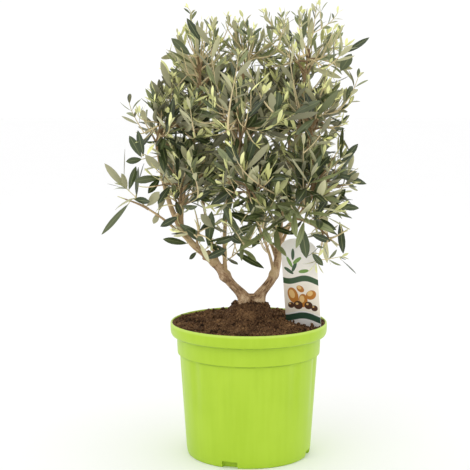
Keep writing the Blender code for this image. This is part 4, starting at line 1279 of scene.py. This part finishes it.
def leaf_arrays(model, leaves):
    """Every leaf's vertices, bent, cupped and twisted from the model."""
    co, faces, kinds = model
    column = {name: np.array([getattr(leaf, name) for leaf in leaves]) for name in Leaf._fields}
    root, way, up = (np.array([tuple(v) for v in column[name]])[:, None, :] for name in ("root", "way", "up"))
    length, width, bend, cup, twist = (column[name].astype(float)[:, None]
                                       for name in ("length", "width", "bend", "cup", "twist"))
    side = np.cross(way, up)
    across = co[None, :, 0] * width
    along = np.repeat(co[None, :, 1], len(leaves), axis=0)
    above = co[None, :, 2] * width + cup * np.abs(across)
    turn = twist * along
    across, above = across * np.cos(turn) - above * np.sin(turn), across * np.sin(turn) + above * np.cos(turn)
    bend = np.where(np.abs(bend) < 0.001, 0.001, bend)
    angle = bend * along
    forward = np.sin(angle) / bend * length + above * np.sin(angle)
    rise = -(1.0 - np.cos(angle)) / bend * length + above * np.cos(angle)
    points = root + way * forward[..., None] + up * rise[..., None] + side * across[..., None]
    all_faces, all_kinds = [], []
    for number, leaf in enumerate(leaves):
        offset = number * len(co)
        all_faces.extend([corner + offset for corner in face] for face in faces)
        if leaf.young:
            above_kind = TOPS + UNDERS + 1 + leaf.tint % YOUNGS
            below_kind = above_kind
            rib_kind = above_kind
        else:
            above_kind = leaf.tint
            below_kind = TOPS + 1 + leaf.tint % UNDERS
            rib_kind = TOPS
        all_kinds.extend((above_kind, rib_kind, below_kind)[kind] for kind in kinds)
    return points.reshape(-1, 3), all_faces, all_kinds


def twig_arrays(axes, pale_wood, sides=6):
    """Closed tubes along the axes. Kinds: 0 old, 1 paler, 2 green near the tips."""
    points, faces, kinds = [], [], []
    for axis in axes:
        length = route_length(axis.route)
        offset = len(points)
        stations = len(axis.route.points)
        for place, radius in zip(ring_frames(axis.route.points), axis.route.radii):
            for corner in range(sides):
                turn = math.tau * corner / sides
                points.append(place @ Vector((radius * math.cos(turn), radius * math.sin(turn), 0.0)))
        for ring in range(stations - 1):
            left = length * (1.0 - (ring + 0.5) / (stations - 1))
            kind = 2 if left < 0.010 else 0 if axis.order == 0 or (left > pale_wood and axis.order < 3) else 1
            for corner in range(sides):
                low = offset + ring * sides
                following = (corner + 1) % sides
                faces.append([low + corner, low + following, low + sides + following, low + sides + corner])
                kinds.append(kind)
        faces.append([offset + corner for corner in reversed(range(sides))])
        kinds.append(0)
        faces.append([offset + (stations - 1) * sides + corner for corner in range(sides)])
        kinds.append(2)
    return points, faces, kinds


def leaf_materials(settings):
    def plain(name, colour, roughness, **others):
        return Surface(name, Base_Color=(*colour, 1.0), Roughness=roughness, **others).material

    tops = [plain("leaf_top_%d" % number, [value * share for value, share in zip(settings.top, shares)], 0.35,
                  Specular_IOR_Level=0.60) for number, shares in enumerate(TOP_SHARES)]
    rib = [plain("leaf_midrib", settings.midrib, 0.5)]
    unders = [plain("leaf_under_%d" % number, [value * share for value in settings.under], 0.65,
                    Sheen_Weight=0.15) for number, share in enumerate((0.50, 0.86, 1.36))]
    youngs = [plain("leaf_young_%d" % number, [value * share for value in settings.young], 0.5)
              for number, share in enumerate((0.76, 1.05, 1.34))]
    return [*tops, *rib, *unders, *youngs]


def twig_materials(settings):
    colours = (settings.twig, settings.pale_twig, settings.green_twig)
    return [Surface("twig_%d" % number, Base_Color=(*colour, 1.0), Roughness=0.7).material
            for number, colour in enumerate(colours)]


def make_foliage(settings):
    routes = all_routes()
    obstacles = Obstacles(routes)
    model = model_leaf()
    leaf_stuff = leaf_materials(settings)
    twig_stuff = twig_materials(settings)
    room = Room(LEAF_SPACING)
    in_view = InView()
    for single in SINGLES:
        root, tip = Vector(single.root), Vector(single.tip)
        in_view.show([root.lerp(tip, share) for share in SPINE_SHARES])
    for sprig in SPRIGS:
        if sprig.mass != "left_spray":
            in_view.show(sprig_axis(sprig, (), obstacles).route.points[3:])
    total = 0
    for mass in MASSES:
        axes = grow_axes(mass, routes, obstacles)
        grown = len(axes)
        leaves, axes = place_leaves(mass, axes, obstacles, room, in_view)
        print("axes", mass.name, grown, len(axes))
        total += len(leaves)
        piece = mesh_from_arrays("leaves_" + mass.name, *leaf_arrays(model, leaves))
        smooth(piece, 40)
        finish_piece(piece, "foliage", leaf_stuff, "foliage_" + mass.name)
        twigs = mesh_from_arrays("twigs_" + mass.name, *twig_arrays(axes, HABITS[mass.habit].pale_wood))
        smooth(twigs, 60)
        finish_piece(twigs, "foliage", twig_stuff)
        print("%-18s %3d axes %4d leaves" % (mass.name, len(axes), len(leaves)))
    print("leaves", total)


# ---------------------------------------------------------------- soil
CRUMBS = 1500
CRUMB_SIZES = (0.0008, 0.0034)


def soil_height(x, y):
    away = math.hypot(x - TRUNK_FOOT.x, y - TRUNK_FOOT.y)
    slope = SOIL_RISE * (1.0 - ease(away / (POT_BOX[1].x - POT_WALL)))
    hump = HUMP_RISE * (1.0 - ease((away - HUMP_RADIUS) / HUMP_SPREAD))
    heap = HEAP_RISE * (1.0 - ease((away - HEAP_RADIUS) / HUMP_SPREAD))
    x, y = x - LABEL_FOOT.x, y - LABEL_FOOT.y
    beside = x * math.cos(LABEL_TURN) + y * math.sin(LABEL_TURN)
    before = x * math.sin(LABEL_TURN) - y * math.cos(LABEL_TURN) - HOLLOW_BEFORE
    hollow = HOLLOW_DEPTH * math.exp(-(beside / HOLLOW_HALF) ** 2 - (before / HOLLOW_SPREAD) ** 2)
    return SOIL_EDGE + slope + hump + heap - hollow


def clods(x, y):
    """How far the soil's clods stand out at a place."""
    where = Vector((x, y, 0.0))
    coarse = noise.noise(where * 55) * 0.0022
    near, _ = noise.voronoi(where * 150)
    lumps = (0.42 - near[0]) * 0.0046
    near_small, _ = noise.voronoi(where * 330 + Vector((7, 3, 1)))
    fine = (0.4 - near_small[0]) * 0.0020
    grit = noise.noise(where * 900) * 0.0005
    return coarse + lumps + fine + grit - 0.0008


def soil_surface(settings):
    soil = Surface("soil", Roughness=0.95, Specular_IOR_Level=0.15)
    place = soil.place()
    broad = soil.noise(place, 34.0, 4.0, 0.6)
    grains = soil.noise(place, 420.0, 5.0, 0.7)
    fibres = soil.noise(soil.node("Mapping", None, {"Vector": place, "Scale": (1.0, 0.25, 0.6)}), 700.0, 2.0, 0.5)
    specks = soil.noise(place, 1300.0, 1.0, 0.5)
    colour = soil.ramp(grains * 0.55 + broad * 0.45,
                       (0.39, settings.dark), (0.50, settings.middle), (0.66, settings.light))
    colour = soil.mix(soil.step(fibres, 0.62, 0.72) * 0.8, colour, settings.fibre)
    colour = soil.mix(soil.step(specks, 0.73, 0.78), colour, settings.speck)
    soil.feed("Base Color", colour)
    soil.bump(grains, 0.0010, 0.9)
    return soil.material


def make_soil(settings):
    inner = POT_BOX[1].x - POT_WALL - GAP
    lift = POT_WALL
    profile = [(FOOT_RING_RADIUS - GAP, FLOOR + GAP), (FOOT_RING_RADIUS - GAP, FOOT_RING_HEIGHT + GAP),
               (FOOT_RADIUS - POT_WALL - GAP + 0.0006, FOOT_RING_HEIGHT + GAP),
               (BODY_TOP_RADIUS - POT_WALL - GAP, COLLAR_BOTTOM + lift + GAP),
               (COLLAR_RADIUS - POT_WALL - GAP, COLLAR_BOTTOM + lift + GAP),
               (COLLAR_RADIUS - POT_WALL - GAP, RIM_BOTTOM + lift + GAP),
               (inner, RIM_BOTTOM + lift + GAP), (inner, SOIL_EDGE - 0.002), (inner, SOIL_EDGE)]
    rings = 62
    profile += [(inner * (1.0 - ring / rings), SOIL_EDGE) for ring in range(1, rings)]
    soil = ring_solid("soil_bed", profile, 300)
    places = coordinates(soil)
    for number, (x, y, z) in enumerate(places):
        if z > SOIL_EDGE - 0.0005:
            edge = ease((inner - math.hypot(x, y)) / 0.004)
            places[number, 2] = soil_height(x, y) + clods(x, y) * (0.25 + 0.75 * edge)
    move_vertices(soil, places)
    smooth(soil, 50)
    material = soil_surface(settings)
    finish_piece(soil, "soil", [material], "soil")
    crumbs = scatter_crumbs(inner, settings.crumbs)
    finish_piece(crumbs, "soil", [material])


def scatter_crumbs(inner, count):
    """Small lumps, modelled once in a few shapes and copied half sunk into the soil."""
    rng = random.Random(71)
    models = []
    for number in range(5):
        crumb = start("crumb_model", "ico_sphere", subdivisions=2, radius=1.0)
        co = coordinates(crumb)
        co = np.array([v * (1.0 + 0.45 * noise.noise(Vector(v) * 1.3 + Vector((number * 5, 0, 0)))) for v in co])
        models.append((co, [list(face.vertices) for face in crumb.data.polygons]))
        bpy.data.objects.remove(crumb, do_unlink=True)
    points, faces = [], []
    for number in range(count):
        co, shape_faces = models[number % len(models)]
        away = inner * math.sqrt(rng.random()) * 0.975
        turn = rng.uniform(0, math.tau)
        x, y = away * math.cos(turn), away * math.sin(turn)
        size = CRUMB_SIZES[0] + (CRUMB_SIZES[1] - CRUMB_SIZES[0]) * rng.random() ** 2.2
        height = soil_height(x, y) + clods(x, y) + size * 0.30
        turned = Euler((rng.uniform(0, 6), rng.uniform(0, 6), rng.uniform(0, 6))).to_matrix()
        squash = np.array((1.0, rng.uniform(0.6, 1.0), rng.uniform(0.55, 0.9))) * size
        offset = len(points)
        points.extend((co * squash) @ np.array(turned).T + (x, y, height))
        faces.extend([corner + offset for corner in face] for face in shape_faces)
    crumbs = mesh_from_arrays("soil_crumbs", points, faces)
    smooth(crumbs, 60)
    return crumbs


# ---------------------------------------------------------------- pot
def pot_profile():
    rim = POT_BOX[1].x
    top = POT_BOX[1].z
    body_low, body_high = FOOT_RADIUS + 0.0004, BODY_TOP_RADIUS
    outer = [(FOOT_RADIUS - 0.0030, 0.0), (FOOT_RADIUS - 0.0012, 0.0005), (FOOT_RADIUS, 0.0030)]
    heights = [0.009, 0.02, 0.035, 0.05, 0.065, 0.08, 0.095, 0.105, 0.115, 0.122, 0.128, 0.133, 0.1355]
    outer += [(body_low + (body_high - body_low) * height / COLLAR_BOTTOM, height) for height in heights]
    outer += [(body_high - 0.0006, COLLAR_BOTTOM + 0.0010), (COLLAR_RADIUS - 0.0014, COLLAR_BOTTOM + 0.0008),
              (COLLAR_RADIUS - 0.0008, COLLAR_BOTTOM - 0.0001), (COLLAR_RADIUS - 0.0002, COLLAR_BOTTOM + 0.0004),
              (COLLAR_RADIUS, COLLAR_BOTTOM + 0.0016),
              (COLLAR_RADIUS + 0.0009, RIM_BOTTOM - 0.0016), (COLLAR_RADIUS + 0.0008, RIM_BOTTOM + 0.0010),
              (rim - 0.0040, RIM_BOTTOM + 0.0010), (rim - 0.0030, RIM_BOTTOM - 0.0002),
              (rim - 0.0020, RIM_BOTTOM + 0.0006), (rim - 0.0009, RIM_BOTTOM + 0.0026),
              (rim - 0.0003, RIM_BOTTOM + 0.0052), (rim, top - 0.0060), (rim, top - 0.0020),
              (rim - 0.0004, top - 0.0008), (rim - 0.0012, top)]
    wall = POT_WALL
    inner = [(rim - wall + 0.0008, top), (rim - wall + 0.0001, top - 0.0006), (rim - wall, top - 0.0018),
             (rim - wall, RIM_BOTTOM + wall), (COLLAR_RADIUS - wall, RIM_BOTTOM + wall),
             (COLLAR_RADIUS - wall, COLLAR_BOTTOM + wall), (BODY_TOP_RADIUS - wall, COLLAR_BOTTOM + wall),
             (FOOT_RADIUS - wall + 0.0006, FOOT_RING_HEIGHT), (FOOT_RING_RADIUS, FOOT_RING_HEIGHT),
             (FOOT_RING_RADIUS, FLOOR)]
    return outer + inner


def pot_surface(settings):
    lime = Surface("pot_plastic", Roughness=0.34, Specular_IOR_Level=0.32)
    place = lime.place()
    cloud = lime.noise(place, 16.0, 3.0, 0.5)
    grain = lime.noise(place, 1500.0, 2.0, 0.5)
    flow = lime.noise(lime.node("Mapping", None, {"Vector": place, "Scale": (1.0, 1.0, 0.08)}), 130.0, 3.0, 0.5)
    colour = lime.mix(lime.step(cloud * 0.6 + flow * 0.4, 0.3, 0.7), settings.shade, settings.colour)
    height = lime.node("SeparateXYZ", None, {"Vector": place}, "Z")
    # Painted highlight: the top few millimetres of the rim are mixed towards a paler colour, standing in for light on
    # the rounded lip.
    colour = lime.mix(lime.step(height, POT_BOX[1].z - 0.0042, POT_BOX[1].z - 0.0010) * 0.6, colour, settings.painted_rim_highlight)
    # Painted shade: a dark band just under the rim and just under the collar, broken up by the flow noise, standing in
    # for the shade beneath the overhangs.
    for shaded_ledge, strength in ((RIM_BOTTOM, 0.75), (COLLAR_BOTTOM, 0.45)):
        away = lime.maths("ABSOLUTE", height - (shaded_ledge - 0.0004))
        colour = lime.mix((1 - lime.step(away, 0.0004, 0.0018)) * lime.step(flow, 0.25, 0.6) * strength,
                          colour, settings.painted_crease_shade)
    lime.feed("Base Color", colour)
    lime.feed("Roughness", settings.roughness + (cloud - 0.5) * 0.10 + (grain - 0.5) * 0.08)
    lime.bump(grain * 0.5 + flow * 0.5, 0.00012, 0.35)
    return lime.material


def make_pot(settings):
    pot = ring_solid("nursery_pot", pot_profile(), POT_SEGMENTS)
    places = coordinates(pot)
    for number, (x, y, z) in enumerate(places):
        away = math.hypot(x, y)
        if away < FOOT_RADIUS - 0.001 or z < 0.004 or z > COLLAR_BOTTOM + 0.00005:
            continue
        wall = FOOT_RADIUS + (BODY_TOP_RADIUS - FOOT_RADIUS) * z / COLLAR_BOTTOM
        if away < wall - POT_WALL / 2:
            continue
        turn = math.atan2(x, -y) - FLUTE_TURN
        pitch = math.tau / FLUTES
        off = abs((turn + pitch / 2) % pitch - pitch / 2)
        dip = 1.0 - ease(off / (FLUTE_SPAN / 2))
        fade = ease((z - 0.022) / (COLLAR_BOTTOM - 0.022))
        share = 1.0 - settings.flute_depth * dip * fade / away
        places[number, 0] = x * share
        places[number, 1] = y * share
    move_vertices(pot, places)
    for number in range(NOTCHES):
        turn = NOTCH_TURN + number * math.tau / NOTCHES
        spot = Matrix.Rotation(turn, 3, "Z") @ Vector((0.0, -FOOT_RADIUS, 0.0))
        notch = start("notch", "cube", size=1.0, location=spot, rotation=(0.0, 0.0, turn),
                      scale=(NOTCH_WIDTH, 2 * NOTCH_DEPTH, 2 * NOTCH_HEIGHT))
        settle(notch)
        modify(notch, "BEVEL", width=0.0012, segments=3)
        modify(pot, "BOOLEAN", operation="DIFFERENCE", object=notch, solver="MANIFOLD")
        bpy.data.objects.remove(notch, do_unlink=True)
    smooth(pot, 30)
    finish_piece(pot, "pot_plastic", [pot_surface(settings)], "pot")


# ---------------------------------------------------------------- label
def label_surface(settings):
    card = Surface("label_card", Roughness=0.38, Specular_IOR_Level=0.45, Coat_Weight=0.2, Coat_Roughness=0.2)
    turn = (math.pi / 2 + LABEL_LEAN, 0.0, LABEL_TURN)
    place = card.node("Mapping", {"vector_type": "TEXTURE"},
                      {"Vector": card.place(), "Location": tuple(LABEL_FOOT), "Rotation": turn})
    split = card.node("SeparateXYZ", None, {"Vector": place}).socket.node
    x, y, z = (Wire(card, split.outputs[axis]) * 1000 for axis in range(3))

    def oval(middle_x, middle_y, half_x, half_y, tilt=0.0):
        """1 inside an ellipse, in millimetres on the card, tilted in degrees."""
        along, across = math.cos(math.radians(tilt)), math.sin(math.radians(tilt))
        left = x - middle_x
        up = y - middle_y
        first = (left * along + up * across) / half_x
        second = (up * along - left * across) / half_y
        return 1 - card.step(first * first + second * second, 0.94, 1.06)

    def painted(colour, mask, ink):
        return card.mix(mask, colour, ink)

    tone = card.noise(card.place(), 90.0, 3.0, 0.5)
    colour = card.mix(card.step(y, 40.0, 110.0), settings.warm, settings.paper)
    wave = 3.0 * card.maths("SINE", x * 0.11 + 0.6)
    band = card.step(y - wave, 62.0, 62.6) * (1 - card.step(y - wave, 70.0, 70.6))
    colour = painted(colour, band, settings.leaf_ink)
    for middle_x, middle_y, half_x, half_y, tilt in (
            (-13, 44, 8.0, 11.0, 18), (2, 38, 7.0, 9.5, -14), (15, 47, 8.5, 6.0, 30), (-1, 54, 6.0, 4.4, -25)):
        colour = painted(colour, oval(middle_x, middle_y, half_x, half_y, tilt), settings.amber)
        colour = painted(colour, oval(middle_x - 1.5, middle_y + 1.8, half_x * 0.55, half_y * 0.55, tilt),
                         settings.amber_light)
    for middle_x, middle_y, size in ((-6, 31, 7.2), (10, 32, 6.4), (19, 29, 5.0), (-17, 30, 5.0)):
        colour = painted(colour, oval(middle_x, middle_y, size, size * 0.82, 12), settings.brown)
        colour = painted(colour, oval(middle_x - 1.6, middle_y + 1.8, size * 0.3, size * 0.22, 12), settings.amber_light)
    for middle_x, middle_y, tilt, ink in ((-8, 84, 62, settings.leaf_ink), (-15, 90, 118, settings.leaf_light),
                                          (-3, 93, 35, settings.leaf_light), (-9, 101, 84, settings.leaf_ink),
                                          (6, 79, 12, settings.leaf_light), (-17, 78, 150, settings.leaf_ink)):
        colour = painted(colour, oval(middle_x, middle_y, 8.0, 2.5, tilt), ink)
    hill = y - 3.2 * card.maths("SINE", x * 0.09 + 1.2)
    colour = painted(colour, 1 - card.step(hill, 20.2, 20.8), settings.paper)
    colour = painted(colour, 1 - card.step(hill, 18.2, 18.8), settings.foot_ink)
    colour = painted(colour, 1 - card.step(hill, 9.4, 10.0), settings.paper)
    front = card.step(z, 0.0, 0.15)
    colour = card.mix(front, settings.paper, colour)
    colour = card.mix(card.step(tone, 0.45, 0.75) * 0.03, colour, settings.brown)
    card.feed("Base Color", colour)
    card.feed("Roughness", 0.34 + tone * 0.12)
    card.bump(tone, 0.0002, 0.15)
    return card.material


def make_label(settings):
    """An arched card on a stake, cut from a plane, thickened and softly edged."""
    half = LABEL_WIDTH / 2
    steps = 24
    arch = [math.pi * step / steps for step in range(steps + 1)]
    outline = [(half * math.cos(turn), LABEL_SHOULDER + LABEL_ARCH * math.sin(turn)) for turn in arch]
    stake = STAKE_WIDTH / 2
    outline += [(-half, 0.0015), (-half + 0.0015, 0.0), (-stake - 0.002, 0.0), (-stake, -0.002),
                (-stake * 0.8, -STAKE_LENGTH * 0.6), (0.0, -STAKE_LENGTH), (stake * 0.8, -STAKE_LENGTH * 0.6),
                (stake, -0.002), (stake + 0.002, 0.0), (half - 0.0015, 0.0), (half, 0.0015)]
    card = start("care_label", "circle", vertices=len(outline), radius=1.0, fill_type="NGON")
    edit()
    shape = bmesh.from_edit_mesh(card.data)
    face = shape.faces[:][0]
    for vertex, (across, up) in zip(face.verts, outline):
        vertex.co = (across, up, 0.0)
    bmesh.update_edit_mesh(card.data)
    bpy.ops.mesh.select_all(action="SELECT")
    bpy.ops.mesh.normals_make_consistent(inside=False)
    leave_edit()
    modify(card, "SOLIDIFY", thickness=0.0010, offset=0.0)
    modify(card, "BEVEL", width=0.00022, segments=2, limit_method="ANGLE")
    card.matrix_world = label_place()
    settle(card)
    outward(card)
    smooth(card, 30)
    finish_piece(card, "label_card", [label_surface(settings)], "label")


# ---------------------------------------------------------------- stage
def make_stage(settings):
    floor = start("floor", "circle", vertices=96, radius=30.0, fill_type="NGON", location=(0, 0, 0))
    settle(floor)
    pale = Surface("pale_floor", Roughness=0.9, Specular_IOR_Level=0.1)
    speckle = pale.noise(pale.place(), 3.0, 2.0, 0.5)
    pale.feed("Base Color", pale.mix(speckle, settings.floor, tuple(value * 0.985 for value in settings.floor)))
    floor.data.materials.append(pale.material)
    world = bpy.data.worlds.new("studio")
    bpy.context.scene.world = world
    world.use_nodes = True
    sky = world.node_tree.nodes["Background"]
    sky.inputs["Color"].default_value = (1.0, 1.0, 1.0, 1.0)
    sky.inputs["Strength"].default_value = settings.sky
    centre = Vector((0.0, 0.0, 0.32))
    for name, spot, size, power in (("key", (-1.3, -1.7, 1.9), 1.6, settings.key),
                                    ("fill", (1.9, -1.2, 1.0), 2.0, settings.key * 0.35),
                                    ("top", (0.2, 0.6, 2.2), 1.8, settings.key * 0.5)):
        deselect()
        bpy.ops.object.light_add(type="AREA", location=spot)
        lamp = bpy.context.object
        lamp.name = name
        lamp.data.size = size
        lamp.data.energy = power
        lamp.rotation_euler = (centre - Vector(spot)).to_track_quat("-Z", "Y").to_euler()
    deselect()
    bpy.ops.object.camera_add(location=(-0.0183, -1.50, 0.4726), rotation=(math.pi / 2 - 0.118, 0.0, 0.0))
    camera = bpy.context.object
    camera.data.sensor_width = 36.0
    camera.data.lens = settings.lens
    camera.data.clip_start = 0.05
    bpy.context.scene.camera = camera
    bpy.context.scene.view_settings.view_transform = "Standard"


# ---------------------------------------------------------------- settings
def colour_property(name, description, colour):
    return FloatVectorProperty(name=name, description=description, subtype="COLOR", size=3, min=0.0, max=1.0,
                               default=colour)


class OliveWoodSettings(bpy.types.PropertyGroup):
    furrow: colour_property("Furrows", "Bark colour in the furrows", paint(82, 61, 43))
    old: colour_property("Old bark", "Bark colour on the trunk and boughs", paint(157, 126, 93))
    crest: colour_property("Crests", "Bark colour on the crests", paint(214, 188, 152))
    shoot: colour_property("Thin limbs", "Bark colour of the thin limbs", paint(190, 165, 124))


class OliveLeafSettings(bpy.types.PropertyGroup):
    top: colour_property("Leaf tops", "Upper side of a grown leaf", paint(81, 91, 57))
    midrib: colour_property("Midribs", "Midrib of a grown leaf", paint(112, 119, 80))
    under: colour_property("Leaf undersides", "Lower side of a grown leaf", paint(182, 180, 142))
    young: colour_property("Young leaves", "Small leaves at the tips", paint(217, 218, 154))
    twig: colour_property("Shoots", "Older shoots", paint(150, 125, 90))
    pale_twig: colour_property("Pale shoots", "Last year's shoots", paint(222, 204, 158))
    green_twig: colour_property("Green tips", "Growing tips", paint(206, 200, 138))


class OliveSoilSettings(bpy.types.PropertyGroup):
    crumbs: IntProperty(name="Crumbs", description="Loose crumbs on the soil", default=CRUMBS, min=0)
    dark: colour_property("Dark", "Soil between the clods", paint(36, 24, 16))
    middle: colour_property("Middle", "Soil on the clods", paint(92, 66, 44))
    light: colour_property("Light", "Driest crumbs", paint(154, 120, 82))
    speck: colour_property("Specks", "Grains of lime and grit", paint(206, 190, 146))
    fibre: colour_property("Fibres", "Bits of bark and root", paint(172, 132, 92))


class OlivePotSettings(bpy.types.PropertyGroup):
    colour: colour_property("Colour", "Lime plastic", paint(177, 210, 54))
    shade: colour_property("Deeper", "Where the plastic is a little deeper", paint(169, 203, 44))
    # Painted highlight along the rim's top edge, light falling on the rounded lip.
    painted_rim_highlight: colour_property("Lip", "Worn edge of the rim", paint(204, 230, 108))
    # Painted shade in the bands under the rim and the collar.
    painted_crease_shade: colour_property("Creases", "Under the rim and the collar", paint(112, 144, 30))
    roughness: FloatProperty(name="Roughness", description="Of the plastic", default=0.36, min=0.0, max=1.0)
    flute_depth: FloatProperty(name="Flutes", description="Depth of the flutes", default=0.0017, unit="LENGTH")


class OliveLabelSettings(bpy.types.PropertyGroup):
    paper: colour_property("Paper", "Pale field", paint(255, 253, 248))
    warm: colour_property("Warm field", "Field behind the ovals", paint(255, 246, 228))
    leaf_ink: colour_property("Dark leaves", "Dark green ink", paint(52, 86, 50))
    leaf_light: colour_property("Light leaves", "Light green ink", paint(120, 160, 70))
    amber: colour_property("Amber", "Amber ovals", paint(196, 128, 52))
    amber_light: colour_property("Light amber", "Lights on the ovals", paint(240, 200, 130))
    brown: colour_property("Brown", "Dark ovals", paint(84, 56, 40))
    foot_ink: colour_property("Foot", "Green at the foot", paint(50, 82, 62))


class OliveStageSettings(bpy.types.PropertyGroup):
    floor: colour_property("Floor", "Pale floor", (0.975, 0.975, 0.975))
    sky: FloatProperty(name="Sky", description="Strength of the white surround", default=1.03, min=0.0)
    key: FloatProperty(name="Key light", description="Power of the main light", default=6.0, min=0.0, unit="POWER")
    lens: FloatProperty(name="Lens", description="Focal length", default=86.86, min=1.0, unit="CAMERA")


class OliveSettings(bpy.types.PropertyGroup):
    wood: PointerProperty(type=OliveWoodSettings, name="Wood", description="Trunk, boughs and limbs")
    leaves: PointerProperty(type=OliveLeafSettings, name="Leaves", description="Leaves and twigs")
    soil: PointerProperty(type=OliveSoilSettings, name="Soil", description="Potting soil")
    pot: PointerProperty(type=OlivePotSettings, name="Pot", description="Nursery pot")
    label: PointerProperty(type=OliveLabelSettings, name="Label", description="Card on a stake")
    stage: PointerProperty(type=OliveStageSettings, name="Stage", description="Floor, lights and camera")


# ---------------------------------------------------------------- operators and panel
class OLIVE_OT_wood(bpy.types.Operator):
    """Model the trunk, boughs and limbs with their bark"""
    bl_idname = "olive.wood"
    bl_label = "Trunk and boughs"

    def execute(self, context):
        make_wood(context.scene.olive.wood)
        return {"FINISHED"}


class OLIVE_OT_foliage(bpy.types.Operator):
    """Grow shoots, twigs and leaves in each foliage mass"""
    bl_idname = "olive.foliage"
    bl_label = "Foliage"

    def execute(self, context):
        make_foliage(context.scene.olive.leaves)
        return {"FINISHED"}


class OLIVE_OT_soil(bpy.types.Operator):
    """Model the soil bed and its crumbs"""
    bl_idname = "olive.soil"
    bl_label = "Soil"

    def execute(self, context):
        make_soil(context.scene.olive.soil)
        return {"FINISHED"}


class OLIVE_OT_pot(bpy.types.Operator):
    """Mould the fluted pot"""
    bl_idname = "olive.pot"
    bl_label = "Pot"

    def execute(self, context):
        make_pot(context.scene.olive.pot)
        return {"FINISHED"}


class OLIVE_OT_label(bpy.types.Operator):
    """Cut and print the label"""
    bl_idname = "olive.label"
    bl_label = "Label"

    def execute(self, context):
        make_label(context.scene.olive.label)
        return {"FINISHED"}


class OLIVE_OT_stage(bpy.types.Operator):
    """Set up the floor, the lights and the camera"""
    bl_idname = "olive.stage"
    bl_label = "Stage"

    def execute(self, context):
        make_stage(context.scene.olive.stage)
        return {"FINISHED"}


class OLIVE_PT_panel(bpy.types.Panel):
    """Lists the olive's pieces and their settings"""
    bl_idname = "OLIVE_PT_panel"
    bl_label = "Potted olive tree"
    bl_space_type = "VIEW_3D"
    bl_region_type = "UI"
    bl_category = "Olive"

    def draw(self, context):
        settings = context.scene.olive
        for name, operator in PIECES.items():
            box = self.layout.box()
            box.operator(operator.bl_idname)
            group = getattr(settings, name)
            for item in group.bl_rna.properties:
                if item.identifier not in {"rna_type", "name"}:
                    box.prop(group, item.identifier)


PIECES = {"pot": OLIVE_OT_pot, "soil": OLIVE_OT_soil, "label": OLIVE_OT_label, "wood": OLIVE_OT_wood,
          "leaves": OLIVE_OT_foliage, "stage": OLIVE_OT_stage}
CLASSES = (OliveWoodSettings, OliveLeafSettings, OliveSoilSettings, OlivePotSettings, OliveLabelSettings,
           OliveStageSettings, OliveSettings, *PIECES.values(), OLIVE_PT_panel)


def register():
    for item in CLASSES:
        bpy.utils.register_class(item)
    bpy.types.Scene.olive = PointerProperty(type=OliveSettings)


def unregister():
    del bpy.types.Scene.olive
    for item in reversed(CLASSES):
        bpy.utils.unregister_class(item)


def main():
    register()
    for operator in PIECES.values():
        family, name = operator.bl_idname.split(".")
        getattr(getattr(bpy.ops, family), name)()


if __name__ == "__main__":
    main()
